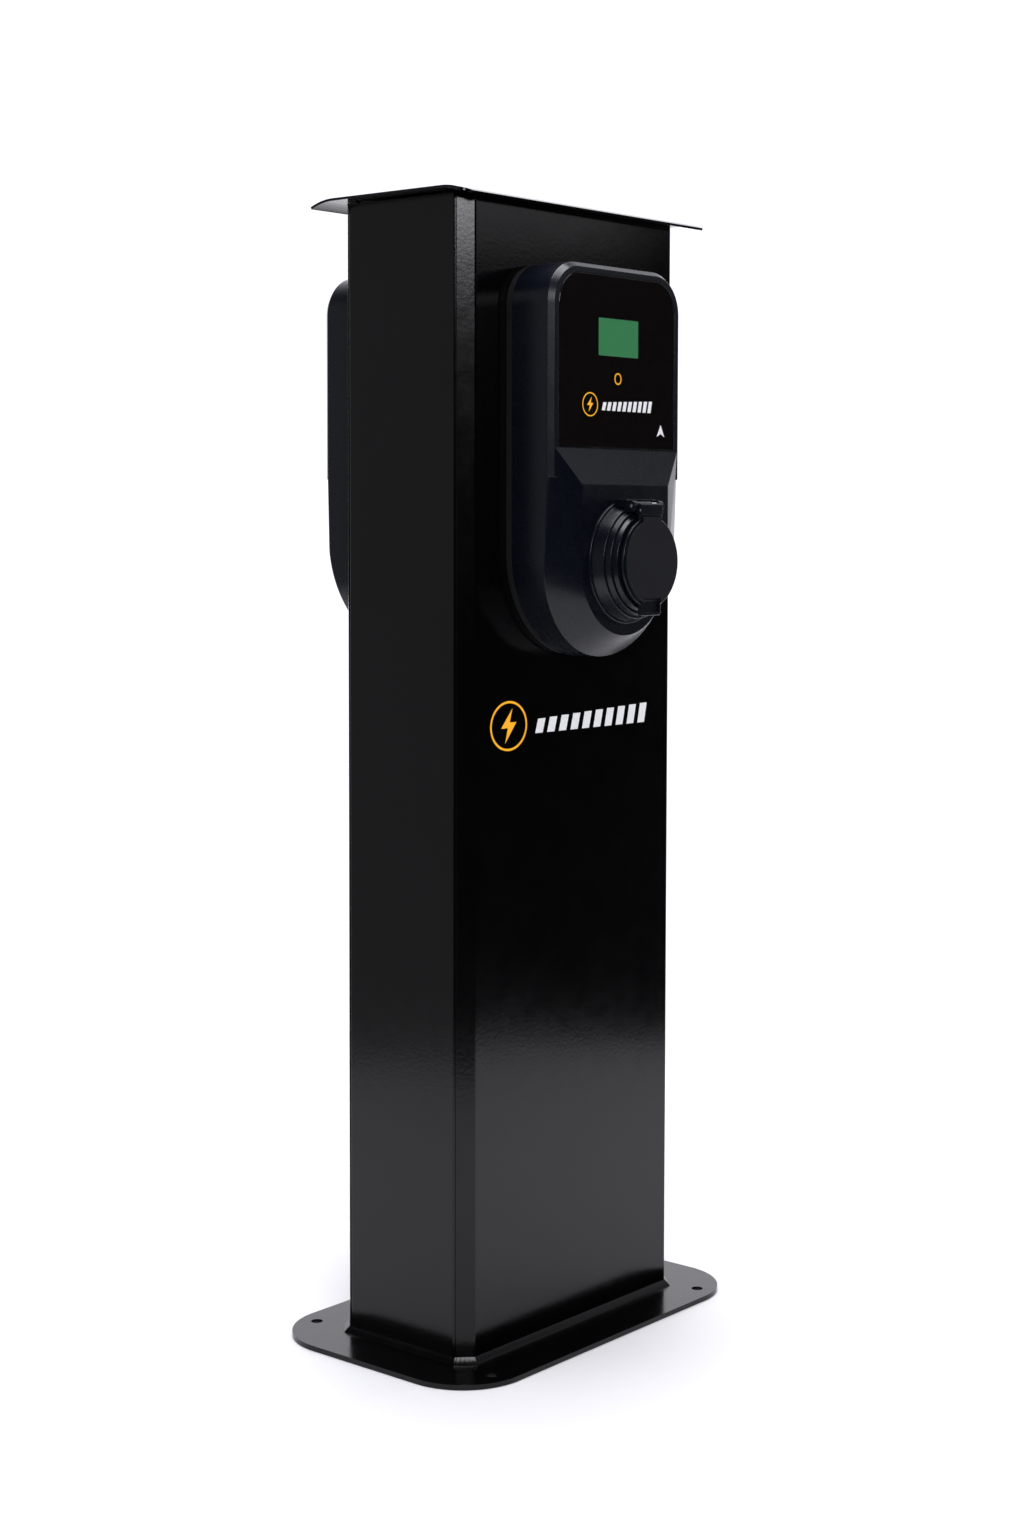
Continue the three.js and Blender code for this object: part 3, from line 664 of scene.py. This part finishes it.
def make_glass():
    """The window panel, with its edges eased."""
    outline = arched(GLASS_HALF, GLASS_LOW.z, GLASS_HIGH.z, GLASS_RADIUS)
    return rounded_edges(new_object("glass", slab(outline, GLASS_BACK, GLASS_OUT)), 0.6, 3, 40)


def make_back_plate():
    """The wall plate that the cover closes on."""
    low, high = box_mm("front_back_plate")
    outline = shield_outline(HALF_WIDTH - (high.x - low.x) / 2)
    plate = new_object("back_plate", slab(outline, -high.y - FACE, -low.y - FACE))
    return rounded_edges(plate, 0.8, 2, 40)


def make_collar():
    """The collar: a base ring, then steps with rounded front edges."""
    profile = [(COLLAR_BORE, COLLAR_BACK), (COLLAR_STEPS[0][1], COLLAR_BACK)]
    start = COLLAR_BACK
    for wide, narrow, end in COLLAR_STEPS:
        edge = min(1.2, (end - start) / 2)
        profile += [(wide, start + 0.4), (narrow, end - edge)]
        profile += arc(narrow - edge, end - edge, edge, 0, 90, 5)
        start = end
    profile += [(37.6, COLLAR_FRONT), (COLLAR_BORE, COLLAR_FRONT - 1.4)]
    collar = new_object("collar", turned(profile, SOCKET_Z, 128))
    cut(collar, rod_x(KNUCKLE + 1.4, -22, 22, HINGE_OUT, HINGE_Z))
    return smooth(collar, 28)


def make_socket():
    """The cup, with a hole in its top wall for the lock pin."""
    low, high = box_mm("front_socket")
    back, front = -high.y - FACE, -low.y - FACE
    radius = (high.x - low.x) / 2
    cup = [(0, back), (radius - 1, back), (radius, back + 1), (radius, front - 0.8), (radius - 0.8, front),
           (SOCKET_BORE + 1.2, front), (SOCKET_BORE, front - 1.2), (SOCKET_BORE, back + SOCKET_FLOOR),
           (0, back + SOCKET_FLOOR)]
    socket = new_object("socket", turned(cup, SOCKET_Z, 96))
    cut(socket, rod_z(LOCK_HOLE, SOCKET_Z + 25, SOCKET_Z + 45, 0, -LOCK_OUT, 32))
    return smooth(socket, 30)


def make_contact_block():
    """Flat on top, with a blind bore for each contact that widens at its mouth."""
    low, high = box_mm("front_contact_block")
    back, front = -high.y - FACE, -low.y - FACE
    radius = (high.x - low.x) / 2
    cylinder = turned([(0, back), (radius, back), (radius, front), (0, front)], SOCKET_Z)
    core = new_object("contact_block", cylinder)
    cut(core, block(-40, 40, back - 1, front + 1, high.z, SOCKET_Z + 40))
    rounded_edges(core, 0.7, 3, 40)
    floor = front - CONTACT_DEPTH
    for x, z, bore in CONTACTS:
        mouth = bore + 1.4
        cut(core, turned([(0, floor), (bore, floor), (bore, front - 1.3), (mouth, front + 0.1),
                          (mouth, front + 5), (0, front + 5)], SOCKET_Z + z, 32, x))
    return smooth(core, 30)


def lid_outline(inset, top, low):
    """The disc with its arm at the top and its finger tab at the bottom."""
    radius = LID_RADIUS - inset
    arm = ARM_HALF - inset
    tab = TAB_HALF - inset
    arm_angle = math.degrees(math.acos(arm / radius))
    tab_angle = math.degrees(math.acos(tab / radius))
    return (arc(0, SOCKET_Z, radius, arm_angle, -tab_angle, 40) + arc(tab - 3, low + 3, 3, 0, -90, 6)
            + arc(-tab + 3, low + 3, 3, -90, -180, 6)
            + arc(0, SOCKET_Z, radius, 180 + tab_angle, 180 - arm_angle, 40)
            + arc(-arm + 2, top - 2, 2, 180, 90, 4) + arc(arm - 2, top - 2, 2, 90, 0, 4))


def make_lid():
    """The sprung lid: a plate with a hooded hinge arm and a finger tab with a sunk grip."""
    lid = new_object("lid", slab(lid_outline(0.0, ARM_TOP, LID_LOW.z), LID_BACK, LID_FRONT - 2.1))
    dish = [(0, LID_BACK - 1), (34, LID_BACK - 1), (32, LID_BACK + 2.5), (0, LID_BACK + 2.5)]
    cut(lid, turned(dish, SOCKET_Z))
    rounded_edges(lid, 1.3, 4, 40)
    arm_foot = ARM_TOP - 2
    section = circle(HINGE_OUT, HINGE_Z, KNUCKLE, 48)
    section += [(LID_BACK + 1.5, arm_foot), (LID_FRONT - 1.4, arm_foot)]
    knuckle = hull([(x, -out, z) for x in (-ARM_HALF, KNUCKLE_END) for out, z in section])
    hood = along_x(filleted([(LID_FRONT - 5, arm_foot, 0), (LID_FRONT - 0.6, arm_foot, 0),
                             (LID_FRONT - 0.6, HINGE_Z + 2.4, 2.4), (LID_FRONT - 5, HINGE_Z + 3.9, 1)]),
                   -ARM_HALF + 0.4, ARM_HALF - 0.4)
    arm = rounded_edges(new_object("hood", hood), 0.8, 3, 50)
    join(lid, knuckle, solid_from(arm))
    cut(lid, rod_x(PIN_RADIUS + 0.35, -PIN_REACH, PIN_REACH, HINGE_OUT, HINGE_Z))
    grip = new_object("grip", block(-TAB_HALF + 3, TAB_HALF - 3, LID_FRONT - 4.4, LID_FRONT + 3,
                                    LID_LOW.z + 3.4, GRIP_TOP))
    cut(lid, solid_from(rounded_edges(grip, 1.0, 3, 40)))
    return smooth(lid, 30)


def make_lid_panel():
    """The raised panel on the lid's face, in a more matt plastic whose paler colour is painted light: a lit
    copy of the shell's tone against the lid's shaded rim.
    """
    panel = new_object("lid_panel", slab(lid_outline(*LID_PANEL), LID_FRONT - 2.6, LID_FRONT))
    return rounded_edges(panel, 1.1, 4, 40)


def make_hinge_bracket():
    """The block on the collar's steps with an ear at each end of the pin, its upper edges rounded."""
    half = (BRACKET_HIGH.x - BRACKET_LOW.x) / 2
    top = BRACKET_HIGH.z
    bracket = new_object("hinge_bracket", block(-half, half, BRACKET_BACK, BRACKET_FRONT, BRACKET_FOOT, top))
    section = circle(HINGE_OUT, HINGE_Z, EAR_RADIUS, 48) + [(BRACKET_BACK, BRACKET_FOOT), (BRACKET_BACK, top)]
    ears = [hull([(x, -out, z) for x in span for out, z in section])
            for span in ((-half, -EAR_INSIDE), (EAR_INSIDE, half))]
    rounded_edges(join(bracket, *ears), 1.2, 4, 40)
    seat = [(0, COLLAR_BACK - 1)]
    start = COLLAR_BACK - 1
    for radius, _, end in COLLAR_STEPS:
        seat += [(radius + 0.3, start), (radius + 0.3, end + 0.3)]
        start = end + 0.3
    pin_bore = rod_x(PIN_RADIUS + 0.3, -PIN_REACH, PIN_REACH, HINGE_OUT, HINGE_Z)
    cut(bracket, turned(seat + [(0, start)], SOCKET_Z, 128), pin_bore)
    return smooth(bracket, 30)


def make_hinge_pin():
    """The hinge pin, with domed ends."""
    half = (PIN_HIGH.x - PIN_LOW.x) / 2
    pin = new_object("hinge_pin", rod_x(PIN_RADIUS, -half, half, HINGE_OUT, HINGE_Z))
    return rounded_edges(pin, 0.7, 3, 40)


def make_lid_spring():
    """The torsion spring round the pin: close turns of round wire."""
    turns, per_turn, wire, radius = 6, 32, 0.6, 3.9
    start, end = 9.4, 20.4
    rings = []
    for i in range(turns * per_turn + 1):
        angle = 2 * math.pi * i / per_turn
        x = start + (end - start) * i / (turns * per_turn)
        rings.append([(x + v, -(HINGE_OUT + (radius + u) * math.cos(angle)),
                       HINGE_Z + (radius + u) * math.sin(angle)) for u, v in circle(0, 0, wire, 10)])
    return smooth(new_object("lid_spring", loft(rings)), 60)


def make_display():
    """The lit face of the display, seen through the window in the black panel."""
    half = (DISPLAY_HIGH.x - DISPLAY_LOW.x) / 2 - 4
    outline = rounded(half, DISPLAY_LOW.z + 4, DISPLAY_HIGH.z - 4, 1.2, 4)
    window = new_object("display_window", slab(outline, GLASS_OUT - 0.5, GLASS_OUT + 0.1))
    return rounded_edges(window, 0.08, 1, 40)


CHARGER_PIECES = [
    # builder, CAD node it stands for, material, body (the post, or the side's own moving body)
    (make_cover, "cover", "shell", "post"),
    (make_glass, "glass", "dark_glass", "post"),
    (make_back_plate, "back_plate", "black_plastic", "post"),
    (make_collar, "collar", "shell", "post"),
    (make_socket, "socket", "black_plastic", "post"),
    (make_contact_block, "contact_block", "black_plastic", "post"),
    (make_hinge_bracket, "hinge_bracket", "shell", "post"),
    (make_hinge_pin, "hinge_pin", "steel", "post"),
    (make_lid_spring, "lid_spring", "steel", "post"),
    (make_lid, "lid", "shell", "lid"),
    # the lid panel's paler colour is painted light, a lit copy of the shell's tone
    (make_lid_panel, None, "lid_plastic", "lid"),
    (make_display, None, "green_display", "post"),
]


def placement(side, x):
    """Where a charger or a panel stands: on its wide face, turned to look outwards."""
    facing = SIDES[side]
    turn = Matrix.Rotation(math.pi if facing > 0 else 0.0, 4, "Z")
    return Matrix.Translation((x * MM, facing * FACE * MM, 0)) @ turn


def put(piece, material, body, node):
    """Gives a piece its material and body, and takes its CAD node's place if there is one."""
    painted(piece, MATERIALS[material])
    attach(piece, body)
    if node:
        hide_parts(node)


def place_on_sides(prototype, name, node, material, body, middles=CHARGER_X):
    """Puts a copy of a prototype on each side, and removes the prototype."""
    for side in SIDES:
        piece = bpy.data.objects.new(f"{side}_{name}_visual", prototype.data.copy())
        bpy.context.scene.collection.objects.link(piece)
        piece.data.transform(placement(side, middles[side]))
        put(piece, material, body if body == "post" else f"{side}_{body}", node and f"{side}_{node}")
    bpy.data.objects.remove(prototype)


for builder, node, material, body in CHARGER_PIECES:
    place_on_sides(builder(), node or builder.__name__[5:], node, material, body)

# ---------- printed marks: generic shapes, no lettering ----------
COLUMN_X = {"front": 0, "rear": 0}
INK = (0.03, 0.16)                                 # how far the ink's back and front stand off
COLUMN_BADGE = (-125, 740.5)                       # across and up, the middle of each mark
PANEL_BADGE = (-53, 1111)
PANEL_RING = (-1, 1142.2)
COLUMN_GAUGE = (-77, 143, 729, 753)                # its ends, its foot and the top of its last bar
PANEL_GAUGE = (-31.5, 66, 1105, 1118.5)
POINTER = ((75, 1077.4), (82.5, 1081), (90, 1077.4), (82.5, 1091.6))


def ring_mark(x, z, half_x, half_z, stroke, out):
    """A ring, drawn as a band between two ellipses."""
    steps = 72
    angles = [2 * math.pi * i / steps for i in range(steps)]
    outer = [(x + half_x * math.cos(angle), z + half_z * math.sin(angle)) for angle in angles]
    inner = [(x + (px - x) * (1 - stroke / half_x), z + (pz - z) * (1 - stroke / half_z)) for px, pz in outer]
    back, front = out + INK[0], out + INK[1]
    return ring_of([[(ax, -back, az), (ax, -front, az), (bx, -front, bz), (bx, -back, bz)]
                    for (ax, az), (bx, bz) in zip(outer, inner)])


def bolt_mark(x, z, size, out):
    """A lightning bolt."""
    shape = [(0.16, 0.5), (-0.34, -0.06), (-0.04, -0.06), (-0.16, -0.5), (0.34, 0.1), (0.04, 0.1)]
    return slab([(x + size * px, z + size * pz) for px, pz in shape], out + INK[0], out + INK[1])


def charge_marks(x0, x1, low, high, out):
    """A row of slanted bars that grow from left to right, like a gauge."""
    count = 10
    pitch = (x1 - x0) / count
    lean = (high - low) * 0.22
    bars = []
    for i in range(count):
        x = x0 + pitch * i
        end = x + pitch * 0.62
        top = low + (high - low) * (0.7 + 0.3 * i / (count - 1))
        bar = [(x, low), (end, low), (end + lean, top), (x + lean, top)]
        bars.append(slab(bar, out + INK[0], out + INK[1]))
    return bars


def merged(name, solids):
    """Puts separate solids into one object."""
    bm = bmesh.new()
    for solid in solids:
        bmesh.ops.recalc_face_normals(solid, faces=solid.faces)
        mesh = bpy.data.meshes.new("part")
        solid.to_mesh(mesh)
        solid.free()
        bm.from_mesh(mesh)
        bpy.data.meshes.remove(mesh)
    return new_object(name, bm)


def add_marks():
    """A ring with a bolt and a gauge under each charger, and smaller ones on its dark panel."""
    badge = [ring_mark(*COLUMN_BADGE, 33, 29, 2.6, 0), bolt_mark(*COLUMN_BADGE, 40, 0)]
    place_on_sides(merged("badge", badge), "column_badge", None, "orange_ink", "post", COLUMN_X)
    place_on_sides(merged("gauge", charge_marks(*COLUMN_GAUGE, 0)),
                   "column_gauge", None, "white_ink", "post", COLUMN_X)
    out = GLASS_OUT
    badge = [ring_mark(*PANEL_BADGE, 14.4, 13.8, 1.3, out), bolt_mark(*PANEL_BADGE, 17, out),
             ring_mark(*PANEL_RING, 6.6, 6.8, 1.5, out)]
    place_on_sides(merged("badge", badge), "panel_badge", None, "orange_ink", "post")
    place_on_sides(merged("gauge", charge_marks(*PANEL_GAUGE, out)), "panel_gauge", None, "white_ink", "post")
    pointer = slab(POINTER, out + INK[0], out + INK[1])
    place_on_sides(merged("pointer", [pointer]), "panel_pointer", None, "white_ink", "post")


# ---------- column, cap and floor plate ----------


def make_wide_panel(hole_x):
    """A wide panel with its face at y = 0: sheet with rounded folds and a 45 degree strip at each side."""
    half = PANEL_HIGH.x
    fold = SHEET * math.tan(math.pi / 8)
    inner = SHEET * math.sqrt(2)
    outline = filleted([(-half, CHAMFER, 0.5), (-half + CHAMFER, 0, 4.5), (half - CHAMFER, 0, 4.5),
                        (half, CHAMFER, 0.5), (half - inner, CHAMFER, 0.5), (half - CHAMFER - fold, SHEET, 2),
                        (-half + CHAMFER + fold, SHEET, 2), (-half + inner, CHAMFER, 0.5)], 8)
    panel = new_object("wide_panel", upright(outline, PANEL_LOW.z, PANEL_HIGH.z))
    gland_low, gland_high = box_mm("front_cable_gland")
    gland_z = (gland_low.z + gland_high.z) / 2
    return smooth(cut(panel, slab(circle(hole_x, gland_z, GLAND_HOLE, 48), -5, 5)), 30)


def make_narrow_panel():
    """A narrow panel on the +X side: rounded edges, and a return along each inside the column."""
    low, high = box_mm("right_panel")
    x, back, half = high.x, low.x, high.y
    outline = filleted([(x, -half, 3.4), (x, half, 3.4), (back, half, 0.5), (back, half - SHEET, 0.5),
                        (x - SHEET, half - SHEET, 0.9), (x - SHEET, -half + SHEET, 0.9),
                        (back, -half + SHEET, 0.5), (back, -half, 0.5)], 8)
    return new_object("narrow_panel", upright(outline, PANEL_LOW.z, PANEL_HIGH.z))


def turned_round(obj):
    """Turns an object half round the column's axis."""
    obj.data.transform(Matrix.Rotation(math.pi, 4, "Z"))
    return obj


def make_cap():
    """The folded cap: a smooth bend along each wide side, rounded edges, two relieved corners."""
    start, radius, angle = CAP_BEND
    centre = CAP_HIGH.z - radius
    half = arc(start, centre, radius, 90, 90 - angle, 24)
    half += arc(start, centre, radius - CAP_SHEET, 90 - angle, 90, 24)
    outline = half + [(-out, z) for out, z in reversed(half)]
    cap = new_object("cap", along_x(outline, CAP_LOW.x, CAP_HIGH.x))
    for end in (-1, 1):
        cut(cap, rod_z(CAP_RELIEF, centre, CAP_HIGH.z + 5, end * CAP_HIGH.x, end * CAP_HIGH.y, 96))
    return rounded_edges(cap, 0.9, 3, 40, 25)


def make_base_plate():
    """The floor plate with its cable opening and anchor holes, all edges eased."""
    half_x, half_y = PLATE_HIGH.x, PLATE_HIGH.y
    low, high = PLATE_LOW.z, PLATE_HIGH.z
    plate = new_object("base_plate", upright(rounded(half_x, -half_y, half_y, PLATE_RADIUS, 32), low, high))
    anchor_x, anchor_y, bore = ANCHORS
    holes = [rod_z(bore, low - 1, high + 1, x, y)
             for x in (-anchor_x, anchor_x) for y in (-anchor_y, anchor_y)]
    entry_x, entry_y, corner = CABLE_ENTRY
    cut(plate, upright(rounded(entry_x, -entry_y, entry_y, corner, 8), low - 1, high + 1), *holes)
    return rounded_edges(plate, 0.9, 3, 40, 25)


def make_weld():
    """The bead round the foot: a fillet with the fine ripples of a weld pass."""
    leg = WELD_HIGH.z - WELD_LOW.z
    grow_full = WELD_HIGH.x - PANEL_HIGH.x
    profile = [(0.3, 0.0), (1.0, 0.0), (0.86, 0.18), (0.66, 0.42), (0.42, 0.66), (0.2, 0.86), (0.3, 1.0)]

    def corners(grow):
        half_x, half_y, c = PANEL_HIGH.x + grow, FACE + grow, CHAMFER + grow * (2 - math.sqrt(2))
        return [Vector(p) for p in ((half_x, -half_y + c), (half_x, half_y - c), (half_x - c, half_y),
                                    (-half_x + c, half_y), (-half_x, half_y - c), (-half_x, -half_y + c),
                                    (-half_x + c, -half_y), (half_x - c, -half_y))]

    rings = []
    travelled = 0.0
    base = corners(0)
    for i, corner in enumerate(base):
        length = (base[(i + 1) % 8] - corner).length
        steps = max(4, round(length / 1.1))
        for step in range(steps):
            t = step / steps
            ripple = 0.94 + 0.06 * abs(math.sin(math.pi * (travelled + length * t) / 4.4))
            ring = []
            for k, (out, up) in enumerate(profile):
                grow = 0.3 if k in (0, len(profile) - 1) else max(0.5, out * grow_full * ripple)
                loop = corners(grow)
                point = loop[i].lerp(loop[(i + 1) % 8], t)
                ring.append((point.x, point.y, WELD_LOW.z + up * leg * ripple))
            rings.append(ring)
        travelled += length
    return smooth(new_object("foot_weld", ring_of(rings)), 60)


def make_access_screw(low, high):
    """A button head screw with a hexagon recess, lying along x."""
    radius = (high.z - low.z) / 2
    face = high.x - SCREW_HEAD
    dome = arc(0, 0, 1, 0, 78, 8)
    profile = [(0, low.x), (2.4, low.x), (3, low.x + 0.6), (3, face), (radius, face)]
    profile += [(radius * across, face + 0.7 + (SCREW_HEAD - 0.7) * up) for across, up in dome]
    profile += [(0, high.x)]
    screw = new_object("access_screw", turned(profile, 0, 64))
    cut(screw, slab(circle(0, 0, 2.3, 6), high.x - 2, high.x + 2))
    screw.data.transform(Matrix.Translation((0, (low.y + high.y) / 2 * MM, (low.z + high.z) / 2 * MM))
                         @ Matrix.Rotation(math.pi / 2, 4, "Z"))
    return smooth(screw, 30)


def add_column():
    """The four panels, the cap, the floor plate with its weld, and the access screws."""
    for side, facing in SIDES.items():
        panel = make_wide_panel(-facing * CHARGER_X[side])
        panel.data.transform(placement(side, 0))
        put(panel, "black_coat", "post", f"{side}_panel")
    holes = [along_x(circle(-(low.y + high.y) / 2, (low.z + high.z) / 2, SCREW_HOLE, 32), low.x, high.x)
             for low, high in SCREWS]
    put(smooth(cut(make_narrow_panel(), *holes), 30), "black_coat", "post", "right_panel")
    put(smooth(turned_round(make_narrow_panel()), 30), "black_coat", "post", "left_panel")
    put(make_cap(), "black_coat", "post", "cap_plate")
    put(make_base_plate(), "plate_coat", "post", "base_plate")
    put(make_weld(), "plate_coat", "post", "foot_weld")
    for i, (low, high) in enumerate(SCREWS, 1):
        put(make_access_screw(low, high), "steel", "post", f"access_screw_{i}")


add_column()
add_marks()

# ---------- camera, floor and light ----------
COOL_WHITE = (0.95, 0.945, 1.0)
CAMERA_PLACE = (-2.1980, -1.8515, 0.9743)
CAMERA_TURN = (0.8706, -0.0600, 0.0020)            # yaw, pitch and roll, in radians
CAMERA_LENS = 55.22
CAMERA_SHIFT = -0.0671
FLOOR_RADIUS = 1650


def add_camera():
    """At the height and angle that the post is looked at from."""
    yaw, pitch, roll = CAMERA_TURN
    forward = Vector((math.sin(yaw) * math.cos(pitch), math.cos(yaw) * math.cos(pitch), math.sin(pitch)))
    level = Vector((math.cos(yaw), -math.sin(yaw), 0))
    upright_axis = level.cross(forward)
    right = math.cos(roll) * level + math.sin(roll) * upright_axis
    up = math.cos(roll) * upright_axis - math.sin(roll) * level
    data = bpy.data.cameras.new("camera")
    data.lens = CAMERA_LENS
    data.sensor_width = 36.0
    data.shift_y = CAMERA_SHIFT
    camera = bpy.data.objects.new("camera", data)
    facing = Matrix((right, up, -forward)).transposed().to_4x4()
    camera.matrix_world = Matrix.Translation(CAMERA_PLACE) @ facing
    bpy.context.scene.collection.objects.link(camera)
    bpy.context.scene.camera = camera


def add_floor():
    """A round pale floor. It ends before the dark parts of the room that the column mirrors higher up."""
    bm = bmesh.new()
    bmesh.ops.create_circle(bm, cap_ends=True, segments=128, radius=FLOOR_RADIUS)
    floor = new_object("floor", bm)
    floor.location.z = PLATE_LOW.z * MM - 0.0005
    material, principled = shader("pale_floor", Roughness=0.7)
    two_tone(material, principled, noise(material, 3.0), (0.86, 0.86, 0.865), (0.89, 0.89, 0.892))
    painted(floor, material)


def add_softbox(name, location, target, size, radiance):
    """A rectangular softbox that looks equally bright from all sides: its power follows its area."""
    data = bpy.data.lights.new(name, "AREA")
    data.shape = "RECTANGLE"
    data.size, data.size_y = size
    data.energy = radiance * math.pi * size[0] * size[1]
    data.color = COOL_WHITE
    light = bpy.data.objects.new(name, data)
    light.location = location
    light.rotation_mode = "QUATERNION"
    light.rotation_quaternion = (Vector(target) - Vector(location)).to_track_quat("-Z", "Y")
    bpy.context.scene.collection.objects.link(light)


def add_world():
    """White to the camera. To the post: a bright backdrop behind, a dim glow at the left, the rest dark."""
    world = bpy.data.worlds.new("studio")
    world.use_nodes = True
    bpy.context.scene.world = world
    nodes, links = world.node_tree.nodes, world.node_tree.links
    background = nodes["Background"]
    coordinates = nodes.new("ShaderNodeTexCoord")

    def glow(direction, start, end, low, high):
        """Brightens smoothly towards a direction; start and end are cosines of the angle from it."""
        facing = nodes.new("ShaderNodeVectorMath")
        facing.operation = "DOT_PRODUCT"
        facing.inputs[1].default_value = direction
        links.new(coordinates.outputs["Generated"], facing.inputs[0])
        ramp = nodes.new("ShaderNodeMapRange")
        ramp.interpolation_type = "SMOOTHSTEP"
        for socket, value in (("From Min", start), ("From Max", end), ("To Min", low), ("To Max", high)):
            ramp.inputs[socket].default_value = value
        links.new(facing.outputs["Value"], ramp.inputs["Value"])
        return ramp.outputs["Result"]

    total = nodes.new("ShaderNodeMath")
    total.operation = "ADD"
    links.new(glow((0.765, 0.644, 0.0), 0.23, 0.8, 0.006, 1.45), total.inputs[0])
    links.new(glow((-0.77, 0.64, 0.0), 0.68, 0.985, 0.0, 0.36), total.inputs[1])
    path = nodes.new("ShaderNodeLightPath")
    choose = nodes.new("ShaderNodeMix")
    choose.inputs[3].default_value = 1.2
    links.new(path.outputs["Is Camera Ray"], choose.inputs[0])
    links.new(total.outputs[0], choose.inputs[2])
    links.new(choose.outputs[0], background.inputs["Strength"])
    background.inputs["Color"].default_value = (*COOL_WHITE, 1)


bpy.context.scene.view_settings.view_transform = "Standard"
add_camera()
add_floor()
add_softbox("overhead", (0, 0, 5.5), (0, 0, 0), (3.6, 3.6), 9.6)
add_softbox("behind_camera", (-2.44, -2.76, 2.47), (-0.2, -0.1, 2.47), (1.1, 1.5), 13.0)
add_softbox("front_right", (1.5, -2.0, 1.89), (0, -0.1, 1.89), (1.4, 0.62), 0.76)
add_world()

for part in frame["record"]["subparts"]:
    painted(frame["nodes"][part["node"]], MATERIALS[part["material_slot"]])
